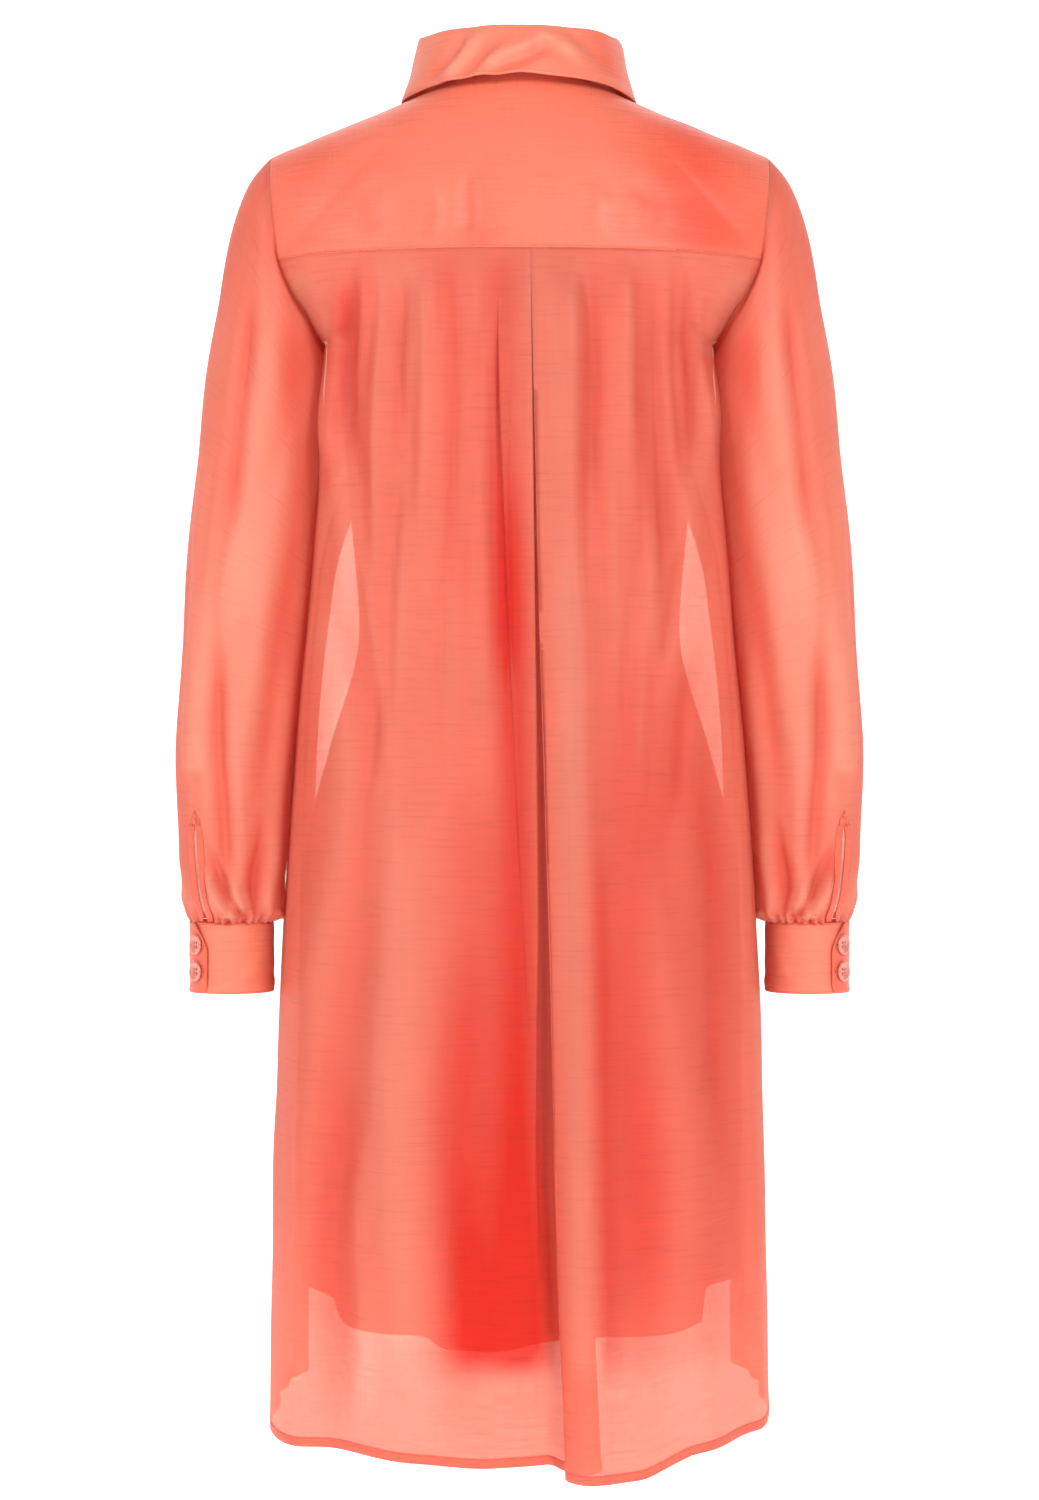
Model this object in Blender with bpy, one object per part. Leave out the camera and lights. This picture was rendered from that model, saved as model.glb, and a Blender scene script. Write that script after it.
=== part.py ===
"""Shirt dress of sheer voile, worn open over its lining slip, as hollow cloth on a general figure.

Metres, +Z up. The origin is between the shoulders, at the height of the neck's sides.
The front faces -Y and the wearer's left is +X. Every cloth wall is a sheet with real thickness.
"""

import math

import bmesh
import bpy
import numpy as np

SEAM = 0.0004  # gap between two sewn pieces
VOILE = 0.0012  # wall of one layer
DOUBLE = 0.0016  # wall of two layers, as in the yoke, bands, collar and cuffs

YOKE_SEAM_Z = -0.129
UNDERARM_Z = -0.184
HEM_Z = -1.010
CURVE_POWER = 2.3  # 2 is an ellipse across the back, and more is squarer

BAND_WIDTH = 0.028
BUTTON_RADIUS = 0.0075
BUTTON_THICKNESS = 0.0022
FRONT_BUTTONS = 9
FIRST_BUTTON_Z = -0.115
BUTTON_STEP = 0.089

CUFF_TOP_Z = -0.6216
CUFF_HEIGHT = 0.053
CUFF_CENTRE_X = 0.2180
CUFF_HALF_WIDTH = 0.0308
CUFF_HALF_DEPTH = 0.0340
CUFF_EDGE_ANGLE = 60  # degrees from the outer side toward the back
CUFF_OVERLAP = 50
CUFF_BUTTON_ANGLE = 42
CUFF_BUTTON_DROPS = (0.0165, 0.0365)

SLIT_TOP_Z = -0.547
SLIT_ANGLE = 55
SLIT_OPENING = 0.006
ANGLE_SIZE = 0.045 * math.pi / 180  # metres to one degree round the lower sleeve
BINDING_ANGLE = 0.006 / ANGLE_SIZE
BINDING = 0.0010  # the binding's wall
BINDING_REACH = 0.7  # of the sleeve's last row, so that it ends over the cuff

HEM_START_Z = -0.800  # the hem's unevenness fades out upward by here
FRONT_WAVE = 0.006
SLIP_HEM_Z = -0.938
SLIP_FLUTE = 0.006
SLIP_FLUTES = 9
STRAP_CREST = (0.098, 0.004, -0.0165)
STRAP_WIDTH = 0.034


def table(columns, rows):
    """One array for each named column."""
    return dict(zip(columns.split(), np.array(rows, float).T))


# The dress at its side seams and centre back, by height
BODY = table(
    "z half back front_bulge",
    [
        (-1.012, 0.1890, 0.125, 0.010),
        (-0.850, 0.1865, 0.120, 0.010),
        (-0.705, 0.1830, 0.115, 0.010),
        (-0.598, 0.1780, 0.110, 0.010),
        (-0.492, 0.1705, 0.104, 0.010),
        (-0.408, 0.1625, 0.100, 0.012),
        (-0.302, 0.1540, 0.102, 0.016),
        (-0.249, 0.1500, 0.105, 0.018),
        (-0.184, 0.1460, 0.108, 0.018),
        (-0.129, 0.1400, 0.100, 0.016),
    ],
)

# The armhole seam, from the shoulder tip round to the underarm
ARMHOLE = table(
    "angle back_x front_x",
    [
        (0, 0.1880, 0.1880),
        (60, 0.1850, 0.1815),
        (84, 0.1820, 0.1765),
        (102, 0.1793, 0.1720),
        (120, 0.1715, 0.1660),
        (140, 0.1580, 0.1560),
        (180, 0.1460, 0.1460),
    ],
)
ARMHOLE_CENTRE_Z = (-0.0436 + UNDERARM_Z) / 2
ARMHOLE_HALF_HEIGHT = (-0.0436 - UNDERARM_Z) / 2
ARMHOLE_BACK_DEPTH = 0.052
ARMHOLE_FRONT_DEPTH = 0.050
YOKE_CORNER_ANGLE = 102.5
YOKE_FRONT_ANGLE = 25  # where the yoke's front seam meets the armhole
YOKE_FRONT_DEPTH = 0.092
SHOULDER_RIDGE_Z = 0.032  # where the two shoulder ridges would meet
SHOULDER_FALL = 0.404  # slope of the ridge

# The neck seam, from the centre back round to the collar's end
NECK_HALF_WIDTH = 0.075
NECK_BACK_DEPTH = 0.066
NECK_FRONT_DEPTH = 0.105
NECK_END = 140
NECK = table(
    "angle z stand_height",
    [
        (0, 0.0078, 0.0264),
        (45, 0.0035, 0.0321),
        (70, 0.0008, 0.0356),
        (90, 0.0005, 0.0400),
        (115, -0.0220, 0.0370),
        (140, -0.0550, 0.0300),
    ],
)
YOKE_FRONT_NECK = 100
BAND_TOP_NECK = 126
STAND_LEAN = 0.94  # the stand's top is this share of the neck's size
STAND_LIFT = 0.0018  # its lower edge over the neck seam

# The collar's fold and fall across its section: share of the neck's size, and height over the stand's top.
# The last row is the lower edge, whose height is over the neck seam instead.
FALL = table(
    "place grow_side grow_back lift_side lift_back",
    [
        (0.00, 0.945, 0.915, 0.0006, 0.0006),
        (0.08, 0.950, 0.925, 0.0052, 0.0052),
        (0.16, 0.985, 0.965, 0.0066, 0.0066),
        (0.26, 1.020, 1.010, 0.0030, 0.0030),
        (0.62, 1.090, 1.130, -0.0180, -0.0165),
        (1.00, 1.180, 1.240, -0.0018, -0.0056),
    ],
)
COLLAR_POINT = (0.018, -0.026, -0.018)  # how far the point runs past the fall's own end

# The open front's edge, by height
FRONT_EDGE = table(
    "z x y",
    [
        (-1.012, 0.1766, -0.198),
        (-0.750, 0.1740, -0.188),
        (-0.600, 0.1710, -0.180),
        (-0.481, 0.1670, -0.170),
        (-0.402, 0.1590, -0.165),
        (-0.331, 0.1480, -0.160),
        (-0.270, 0.1240, -0.148),
        (-0.200, 0.0930, -0.130),
        (-0.120, 0.0660, -0.106),
        (-0.055, 0.0482, -0.081),
    ],
)

# The sleeve between its outer and inner outlines
SLEEVE = table(
    "place outer_x outer_z inner_x inner_z depth",
    [
        (0, 0.1894, -0.0432, 0.1474, -0.1850, 0.0520),
        (1, 0.2052, -0.0640, 0.1488, -0.1980, 0.0550),
        (2, 0.2162, -0.0940, 0.1506, -0.2160, 0.0560),
        (3, 0.2242, -0.1272, 0.1519, -0.2380, 0.0560),
        (4, 0.2299, -0.1576, 0.1536, -0.2620, 0.0555),
        (5, 0.2345, -0.1900, 0.1554, -0.2860, 0.0550),
        (6, 0.2390, -0.2260, 0.1574, -0.3120, 0.0545),
        (7, 0.2432, -0.2650, 0.1595, -0.3380, 0.0540),
        (8, 0.2475, -0.3060, 0.1617, -0.3660, 0.0535),
        (9, 0.2512, -0.3480, 0.1639, -0.3930, 0.0535),
        (10, 0.2550, -0.3930, 0.1664, -0.4220, 0.0530),
        (11, 0.2584, -0.4400, 0.1697, -0.4560, 0.0530),
        (12, 0.2607, -0.4920, 0.1734, -0.4960, 0.0525),
        (13, 0.2600, -0.5300, 0.1759, -0.5310, 0.0515),
        (14, 0.2580, -0.5700, 0.1786, -0.5700, 0.0490),
        (15, 0.2540, -0.6000, 0.1809, -0.6000, 0.0450),
        (16, 0.2495, -0.6152, 0.1827, -0.6152, 0.0385),
        (17, 0.2475, -0.6210, 0.1855, -0.6210, 0.0335),
    ],
)
SLEEVE_END = 17
GATHERS = 16  # round one sleeve, each two columns wide
GATHER_DEPTH = 0.0014

# The pleat's section at the yoke seam and at the hem. Across is to the wearer's right, out is off the body.
PLEAT = table(
    "top_across top_out hem_across hem_out",
    [
        (-0.0600, 0.0000, -0.090, 0.000),
        (-0.0300, 0.0000, -0.062, -0.004),
        (-0.0012, 0.0000, -0.040, -0.009),
        (-0.0012, -0.0026, -0.020, -0.015),
        (-0.0240, -0.0026, -0.004, -0.021),
        (-0.0240, -0.0052, 0.006, -0.026),
        (0.0000, -0.0052, 0.017, -0.029),
        (0.0240, -0.0052, 0.025, -0.026),
        (0.0240, -0.0026, 0.021, -0.018),
        (0.0012, -0.0026, 0.009, -0.009),
        (0.0012, 0.0000, -0.001, 0.000),
        (0.0300, 0.0000, 0.016, 0.014),
        (0.0600, 0.0000, 0.050, 0.005),
        (0.0900, 0.0000, 0.090, 0.000),
    ],
)
PLEAT_DOWN = table(
    "z opened centre_x",
    [
        (-1.012, 1.00, -0.034),
        (-0.800, 0.62, -0.025),
        (-0.600, 0.30, -0.020),
        (-0.350, 0.12, -0.013),
        (-0.129, 0.00, -0.008),
    ],
)
# How far the back's hem hangs over its level, from the wearer's right to left
BACK_HEM = table(
    "x rise",
    [
        (-0.190, 0.018),
        (-0.165, 0.014),
        (-0.125, 0.009),
        (-0.110, 0.004),
        (-0.085, -0.004),
        (-0.036, -0.003),
        (-0.020, 0.004),
        (0.020, 0.004),
        (0.070, 0.008),
        (0.134, 0.011),
        (0.168, 0.009),
        (0.190, 0.008),
    ],
)
FRONT_HEM = {"left": (0.008, 0.000), "right": (0.018, 0.007)}  # rise at the side seam and at the open edge
BACK_COLUMNS = 9  # on each side of the pleat
BACK_FLUTES = 3.5
BACK_FLUTE_DEPTH = 0.007

# The lining slip, by height
SLIP = table(
    "z half centre back front",
    [
        (-0.940, 0.1640, -0.060, 0.050, -0.166),
        (-0.750, 0.1690, -0.045, 0.066, -0.150),
        (-0.606, 0.1690, -0.030, 0.072, -0.134),
        (-0.560, 0.1630, -0.022, 0.070, -0.124),
        (-0.492, 0.1450, -0.010, 0.068, -0.112),
        (-0.400, 0.1215, -0.005, 0.064, -0.102),
        (-0.300, 0.1290, 0.000, 0.076, -0.104),
        (-0.190, 0.1360, 0.000, 0.088, -0.100),
        (-0.100, 0.1290, 0.000, 0.080, -0.080),
    ],
)
# The slip's hem over its level, by angle from the centre back to the wearer's left
SLIP_HEM = table(
    "angle rise",
    [
        (-180, 0.022),
        (-90, 0.040),
        (-63, 0.036),
        (-61, 0.009),
        (-20, 0.008),
        (-8, 0.008),
        (8, 0.000),
        (20, -0.001),
        (27, 0.009),
        (52, 0.010),
        (60, 0.016),
        (63, 0.028),
        (90, 0.034),
        (180, 0.022),
    ],
)
# Where the slip's top edge runs, by angle from the centre back
SLIP_TOP = table(
    "angle z",
    [
        (0, -0.108),
        (60, -0.110),
        (78, -0.155),
        (90, -0.200),
        (102, -0.170),
        (125, -0.135),
        (150, -0.165),
        (180, -0.175),
    ],
)

CORAL = (0.93, 0.33, 0.22)
DEEP_CORAL = (0.90, 0.25, 0.16)
BUTTON_PINK = (0.66, 0.20, 0.16)


def read(values, column, key):
    """The column's value at key on a smooth curve through its rows that never overshoots them."""
    keys = values[next(iter(values))]
    found = values[column]
    order = np.argsort(keys)
    keys, found = keys[order], found[order]
    key = np.clip(key, keys[0], keys[-1])
    step = np.diff(keys)
    slope = np.diff(found) / step
    inner = np.where(
        slope[:-1] * slope[1:] > 0,
        2 * slope[:-1] * slope[1:] / np.where(slope[:-1] + slope[1:] == 0, 1, slope[:-1] + slope[1:]),
        0,
    )
    tangent = np.concatenate([slope[:1], inner, slope[-1:]])
    row = np.clip(np.searchsorted(keys, key) - 1, 0, len(step) - 1)
    share = (key - keys[row]) / step[row]
    return (
        found[row] * (1 + 2 * share) * (1 - share) ** 2
        + tangent[row] * step[row] * share * (1 - share) ** 2
        + found[row + 1] * share**2 * (3 - 2 * share)
        + tangent[row + 1] * step[row] * share**2 * (share - 1)
    )


def evenly(points, count):
    """The line through these points as count points, evenly spaced along it."""
    points = np.asarray(points, float)
    run = np.concatenate([[0], np.cumsum(np.linalg.norm(np.diff(points, axis=0), axis=1))])
    places = np.linspace(0, run[-1], count)
    return np.stack([np.interp(places, run, points[:, axis]) for axis in range(3)], axis=1)


def mirrored(grid):
    """The grid on the wearer's other side, with its columns reversed so that the same side faces out."""
    return np.asarray(grid)[:, ::-1] * (-1, 1, 1)


def grid_faces(rows, columns):
    corners = [row * columns + column for row in range(rows - 1) for column in range(columns - 1)]
    return [(corner, corner + columns, corner + columns + 1, corner + 1) for corner in corners]


def material(name, colour, roughness):
    made = bpy.data.materials.new(name)
    made.use_nodes = True
    surface = made.node_tree.nodes["Principled BSDF"]
    surface.inputs["Base Color"].default_value = (*colour, 1)
    surface.inputs["Roughness"].default_value = roughness
    surface.inputs["Metallic"].default_value = 0
    return made


def add_object(name, points, faces, surface):
    mesh = bpy.data.meshes.new(name)
    mesh.from_pydata([tuple(point) for point in points], [], faces)
    bm = bmesh.new()
    bm.from_mesh(mesh)
    bmesh.ops.recalc_face_normals(bm, faces=bm.faces)
    bm.to_mesh(mesh)
    bm.free()
    mesh.materials.append(surface)
    mesh.shade_smooth()
    mesh.set_sharp_from_angle(angle=math.radians(50))
    made = bpy.data.objects.new(name, mesh)
    bpy.context.scene.collection.objects.link(made)
    return made


def corner_normals(points, faces):
    """Each point's outward direction, long enough that a wall keeps its thickness round a corner."""
    corners = points[np.array(faces)]
    flat = np.cross(corners[:, 2] - corners[:, 0], corners[:, 3] - corners[:, 1])
    flat /= np.linalg.norm(flat, axis=1, keepdims=True) + 1e-15
    total = np.zeros_like(points)
    for corner in range(4):
        np.add.at(total, np.array(faces)[:, corner], flat)
    normals = total / (np.linalg.norm(total, axis=1, keepdims=True) + 1e-15)
    lean = np.ones(len(points))
    for corner in range(4):
        index = np.array(faces)[:, corner]
        np.minimum.at(lean, index, np.einsum("ij,ij->i", normals[index], flat))
    return normals / np.clip(lean, 0.6, 1)[:, None]


def wall(name, points, faces, thickness, surface, out=0.0):
    """A closed sheet of this thickness about the points, moved out from them by out."""
    points = np.asarray(points, float).reshape(-1, 3)
    normals = corner_normals(points, faces)
    outer = points + normals * (out + thickness / 2)
    inner = points + normals * (out - thickness / 2)
    count = len(points)
    sides = set()
    for face in faces:
        sides |= set(zip(face, face[1:] + face[:1]))
    closed = [*faces, *(tuple(count + index for index in reversed(face)) for face in faces)]
    closed += [(b, a, a + count, b + count) for a, b in sorted(sides) if (b, a) not in sides]
    return add_object(name, np.concatenate([outer, inner]), closed, surface)


def sheet(name, grid, thickness, surface, out=0.0):
    """wall for a plain grid of rows and columns."""
    grid = np.asarray(grid)
    return wall(name, grid, grid_faces(*grid.shape[:2]), thickness, surface, out)


def arc_half(z):
    """The back section's virtual half-width: it passes through the armhole above the underarm."""
    if z <= UNDERARM_Z:
        return read(BODY, "half", z)
    x, y, _ = armhole(math.degrees(math.acos((z - ARMHOLE_CENTRE_Z) / ARMHOLE_HALF_HEIGHT)))
    share = 1 - (y / read(BODY, "back", z)) ** CURVE_POWER
    return x / share ** (1 / CURVE_POWER)


def back_depth(x, z):
    share = 1 - np.clip(np.abs(x) / arc_half(z), 0, 1) ** CURVE_POWER
    return read(BODY, "back", z) * share ** (1 / CURVE_POWER)


def armhole(angle):
    """A point on the left armhole seam. 0 is the shoulder tip, 180 the underarm, and under 0 is the front."""
    turn = math.radians(angle)
    depth = ARMHOLE_BACK_DEPTH if angle > 0 else ARMHOLE_FRONT_DEPTH
    x = read(ARMHOLE, "back_x" if angle > 0 else "front_x", abs(angle))
    return np.array([x, depth * math.sin(turn), ARMHOLE_CENTRE_Z + ARMHOLE_HALF_HEIGHT * math.cos(turn)])


def neck(angle, grow_side=1.0, grow_back=1.0, lift=0.0):
    """A point on the neck seam, 0 at the centre back and positive to the wearer's left."""
    turn = math.radians(abs(angle))
    depth = NECK_BACK_DEPTH if abs(angle) < 90 else NECK_FRONT_DEPTH
    share = math.sin(turn) ** 2
    grow = grow_back + (grow_side - grow_back) * share
    x = math.copysign(NECK_HALF_WIDTH * math.sin(turn) * grow, angle)
    return np.array([x, depth * math.cos(turn) * grow, read(NECK, "z", abs(angle)) + lift])


def uneven_hem(grid, rise):
    """The grid with its lower rows moved up by rise at the hem."""
    grid = np.array(grid, float)
    share = np.clip((HEM_START_Z - grid[..., 2]) / (HEM_START_Z - HEM_Z), 0, 1) ** 2
    grid[..., 2] += rise * share
    return grid


def back_edge(z):
    """The back panel's left edge: the armhole above the underarm, and the side seam below."""
    if z <= UNDERARM_Z:
        return read(BODY, "half", z)
    return armhole(math.degrees(math.acos((z - ARMHOLE_CENTRE_Z) / ARMHOLE_HALF_HEIGHT)))[0]


def back_row(z):
    """One row of the back panel, from the wearer's left to right, through the pleat."""
    opened = read(PLEAT_DOWN, "opened", z)
    centre = read(PLEAT_DOWN, "centre_x", z)
    edge = back_edge(z)
    down = np.clip((UNDERARM_Z - z) / (UNDERARM_Z - HEM_Z), 0, 1)

    def blend(name):
        return PLEAT["top_" + name] + (PLEAT["hem_" + name] - PLEAT["top_" + name]) * opened

    def side(start, sign):
        """From the pleat to this side's edge."""
        turns = np.linspace(math.asin(abs(start) / edge), math.pi / 2, 90)
        dense = np.concatenate([[start], sign * edge * np.sin(turns[1:])])
        line = np.stack([dense, back_depth(dense, z) + SEAM / 2, np.full(90, z)], axis=1)
        points = evenly(line, BACK_COLUMNS + 1)[1:]
        share = np.linspace(0, 1, BACK_COLUMNS + 1)[1:]
        wave = np.sin(BACK_FLUTES * math.pi * share + 0.4) * np.sin(math.pi * share)
        points[:, 1] += BACK_FLUTE_DEPTH * down * wave
        return points

    across = centre - blend("across")
    pleat = np.stack([across, back_depth(across, z) + blend("out"), np.full(len(across), z)], axis=1)
    return np.concatenate([side(across[0], 1)[::-1], pleat, side(across[-1], -1)])


def back_heights():
    above = np.linspace(YOKE_SEAM_Z - SEAM, UNDERARM_Z, 4)
    below = np.linspace(UNDERARM_Z, HEM_Z, 18)[1:]
    return np.concatenate([above, below])


def make_back(surface):
    grid = np.array([back_row(z) for z in back_heights()])
    sheet("back", uneven_hem(grid, read(BACK_HEM, "rise", grid[..., 0])), VOILE, surface)


def shoulder(x, turn):
    """The shoulders' rounded form: turn 0 is the ridge, 90 the yoke's back seam, and under 0 is the front."""
    ridge = SHOULDER_RIDGE_Z - SHOULDER_FALL * abs(x)
    depth = back_depth(x, YOKE_SEAM_Z) if turn > 0 else YOKE_FRONT_DEPTH
    y = depth * math.sin(math.radians(turn))
    return np.array([x, y, YOKE_SEAM_Z + (ridge - YOKE_SEAM_Z) * math.cos(math.radians(turn))])


def yoke_ray(neck_angle, outer, outer_turn, count):
    """From the neck seam over the shoulder form to an outer point."""
    start = neck(neck_angle)
    depth = back_depth(start[0], YOKE_SEAM_Z) if start[1] > 0 else YOKE_FRONT_DEPTH
    start_turn = math.degrees(math.asin(start[1] / depth))
    share = np.linspace(0, 1, count)
    points = []
    for part in share:
        turn = start_turn + (outer_turn - start_turn) * part
        form = shoulder(start[0] + (outer[0] - start[0]) * part, turn)
        miss_start = start - shoulder(start[0], start_turn)
        miss_end = outer - shoulder(outer[0], outer_turn)
        points.append(form + miss_start * (1 - part) + miss_end * part)
    return np.array(points)


def yoke_outer():
    """Half of the yoke's outer edge, centre back to front armhole: points with their turn on the shoulder."""
    corner = armhole(YOKE_CORNER_ANGLE)
    dense = np.linspace(0, corner[0], 60)
    seam = np.stack([dense, back_depth(dense, YOKE_SEAM_Z), np.full(60, YOKE_SEAM_Z)], axis=1)
    found = [(point, 90.0) for point in evenly(seam, 7)]
    for angle in np.linspace(YOKE_CORNER_ANGLE, -YOKE_FRONT_ANGLE, 8)[1:]:
        found.append((armhole(angle), 90.0 * angle / YOKE_CORNER_ANGLE))
    return found


def make_yoke(surface):
    outer = yoke_outer()
    angles = np.linspace(0, YOKE_FRONT_NECK, len(outer))
    half = [yoke_ray(angle, *edge, 6) for angle, edge in zip(angles, outer)]
    other = [ray * (-1, 1, 1) for ray in half[:0:-1]]
    sheet("yoke", np.array(other + half).transpose(1, 0, 2)[:, ::-1], DOUBLE, surface)


def front_edge(z):
    return np.array([read(FRONT_EDGE, "x", z), read(FRONT_EDGE, "y", z), z])


def front_line(outer, inner, bulge, down, count):
    """From the armhole or side seam to the front's edge, rounded outward, as count points."""
    share = np.linspace(0, 1, count)[:, None]
    line = outer + (inner - outer) * share
    run = inner - outer
    away = np.array([-run[1], run[0], 0])
    if away @ (outer + inner) < 0:
        away = -away
    away /= np.linalg.norm(away[:2]) + 1e-9
    waves = FRONT_WAVE * down * np.sin(5 * math.pi * share + 0.6)
    return line + away * np.sin(math.pi * share**1.4) * (bulge + waves)  # flatter beside the sleeve


FRONT_TOP_ROWS = [  # armhole angle, neck angle
    (YOKE_FRONT_ANGLE, YOKE_FRONT_NECK),
    (48, 112),
    (70, BAND_TOP_NECK),
]
FRONT_MIDDLE_ROWS = [(92, -0.085), (112, -0.112), (132, -0.142), (154, -0.170)]  # armhole angle, edge z


def front_rows():
    """Each row's panel line and band line for the left front, top to bottom. The band starts at the neck."""
    panel, band = [], []
    drop = np.array([0, -SEAM, -SEAM])
    for number, (arm_angle, neck_angle) in enumerate(FRONT_TOP_ROWS):
        outer, inner = armhole(-arm_angle), neck(neck_angle)
        if number == 0:
            seam = yoke_ray(neck_angle, outer, -90.0 * arm_angle / YOKE_CORNER_ANGLE, 60)
            panel.append(evenly(seam, 9)[::-1] + drop * 1.5)
        else:
            panel.append(evenly(front_line(outer, inner, 0.006 * number, 0, 60), 9))
    band.append(evenly([neck(BAND_TOP_NECK + 0.6), neck((BAND_TOP_NECK + NECK_END) / 2), neck(NECK_END)], 3))
    lower = np.concatenate([[UNDERARM_Z], np.linspace(UNDERARM_Z, HEM_Z, 17)[1:]])
    rows = [(armhole(-angle), z) for angle, z in FRONT_MIDDLE_ROWS]
    rows += [(np.array([read(BODY, "half", z), -SEAM, z]), z) for z in lower]
    for outer, z in rows:
        inner = front_edge(z)
        down = np.clip((UNDERARM_Z - z) / (UNDERARM_Z - HEM_Z), 0, 1)
        line = front_line(outer, inner, read(BODY, "front_bulge", z), down, 120)
        run = np.concatenate([[0], np.cumsum(np.linalg.norm(np.diff(line, axis=0), axis=1))])
        split = run[-1] - BAND_WIDTH
        panel.append(evenly(line[run < split - SEAM], 9))
        band.append(evenly(line[run > split], 3))
    return np.array(panel), np.array(band)


def front_hem(grid, side):
    at_seam, at_edge = FRONT_HEM[side]
    share = np.clip(grid[..., 1] / FRONT_EDGE["y"].min(), 0, 1)
    return uneven_hem(grid, at_seam + (at_edge - at_seam) * share)


def make_fronts(surface, band_surface):
    panel, band = front_rows()
    for side, turn in (("left", np.asarray), ("right", mirrored)):
        sheet(f"front_{side}", turn(front_hem(panel, side)), VOILE, surface)
        sheet(f"band_{side}", turn(front_hem(band, side)), DOUBLE, band_surface)
    return front_hem(band, "left")


def stand_point(angle, share):
    height = read(NECK, "stand_height", abs(angle)) - STAND_LIFT
    grow = 1 + (STAND_LEAN - 1) * share
    return neck(angle, grow, grow * (1 - 0.03 * share), STAND_LIFT + height * share)


def fall_point(angle, row):
    grow_side, grow_back = FALL["grow_side"][row], FALL["grow_back"][row]
    last = row == len(FALL["place"]) - 1
    base = 0.0 if last else float(read(NECK, "stand_height", abs(angle)))
    share = math.sin(math.radians(angle)) ** 2
    lift = FALL["lift_back"][row] * (1 - share) + FALL["lift_side"][row] * share
    point = neck(angle, grow_side, grow_back, base + lift)
    ending = np.clip((abs(angle) - 95) / (NECK_END - 95), 0, 1) ** 1.5
    reach = ending * FALL["place"][row] ** 1.3
    side = math.copysign(1, angle)
    return point + np.array([COLLAR_POINT[0] * side, COLLAR_POINT[1], COLLAR_POINT[2]]) * reach


def make_collar(surface):
    angles = np.linspace(NECK_END, -NECK_END, 25)
    stand = [[stand_point(angle, share) for angle in angles] for share in (1, 0.66, 0.33, 0)]
    sheet("collar_stand", stand, DOUBLE, surface)
    fall = [[fall_point(angle, row) for angle in angles] for row in range(len(FALL["place"]))]
    sheet("collar_fall", fall, DOUBLE, surface)


def sleeve_point(place, angle):
    """A point on the left sleeve, row by row. Angle is 0 outside, 90 at the back, 180 inside."""
    outer = np.array([read(SLEEVE, "outer_x", place), 0, read(SLEEVE, "outer_z", place)])
    inner = np.array([read(SLEEVE, "inner_x", place), 0, read(SLEEVE, "inner_z", place)])
    turn = math.radians(angle)
    point = (outer + inner) / 2 + (outer - inner) / 2 * math.cos(turn)
    point[1] = read(SLEEVE, "depth", place) * math.sin(turn)
    at_seam = np.clip(1 - place / 2.5, 0, 1) ** 2
    signed = (angle + 180) % 360 - 180
    seam_line = armhole(signed)
    flat = (armhole(0.001) + armhole(180)) / 2 + (armhole(0.001) - armhole(180)) / 2 * math.cos(turn)
    point[0] += (seam_line[0] - flat[0]) * at_seam
    near_cuff = np.clip((place - 14) / 3, 0, 1)
    share = (angle - SLIT_ANGLE - BINDING_ANGLE) / (360 - 2 * BINDING_ANGLE)
    swell = GATHER_DEPTH * near_cuff * math.cos(2 * math.pi * GATHERS * share)
    point[0] += swell * math.cos(turn)
    point[1] += swell * math.sin(turn)
    return point


def slit_place():
    """The place whose row is at the slit's top."""
    heights = (SLEEVE["outer_z"] + SLEEVE["inner_z"]) / 2
    return float(np.interp(-SLIT_TOP_Z, -heights, SLEEVE["place"]))


def slit_half_angle(place):
    """Half of the slit's opening in degrees: a lens that closes at its top and narrows at the cuff."""
    share = np.clip((place - slit_place()) / (SLEEVE_END - slit_place()), 0, 1)
    if share == 0:
        return 0.0
    return SLIT_OPENING / 2 * (0.25 + 0.75 * math.sin(math.pi * share)) / ANGLE_SIZE


def sleeve_places():
    """The sleeve's rows, with one at the slit's top and one just over it where its binding ends."""
    below = np.linspace(slit_place(), SLEEVE_END, 6)
    return [0, 1, 2, 3, 4, 6, 8, 10, 12, slit_place() - 0.15, *below]


def sleeve_ring(place, mirror):
    """One row's points from the slit round to the slit, with a column where the binding's edge lies."""
    gap = slit_half_angle(place)
    near = gap + BINDING_ANGLE
    middle = np.linspace(SLIT_ANGLE + near, SLIT_ANGLE + 360 - near, 2 * GATHERS + 1)
    angles = [SLIT_ANGLE + gap, *middle, SLIT_ANGLE + 360 - gap]
    return np.array([sleeve_point(place, angle) for angle in angles]) * ((-1, 1, 1) if mirror else (1, 1, 1))


def turned(faces, mirror):
    return [tuple(reversed(face)) for face in faces] if mirror else faces


def make_sleeve(name, surface, mirror):
    columns = 2 * GATHERS + 2
    places = sleeve_places()
    last_closed = places.index(slit_place())
    points, starts = [], []
    for row, place in enumerate(places):
        ring = sleeve_ring(place, mirror)
        starts.append(len(points))
        points += list(ring[:-1] if row <= last_closed else ring)
    faces = []
    for row in range(len(places) - 1):
        for column in range(columns):
            upper, lower = starts[row], starts[row + 1]
            upper_next = (column + 1) % columns if row <= last_closed else column + 1
            lower_next = (column + 1) % columns if row < last_closed else column + 1
            faces.append((upper + column, lower + column, lower + lower_next, upper + upper_next))
    wall(name, points, turned(faces, mirror), VOILE, surface)


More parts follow.
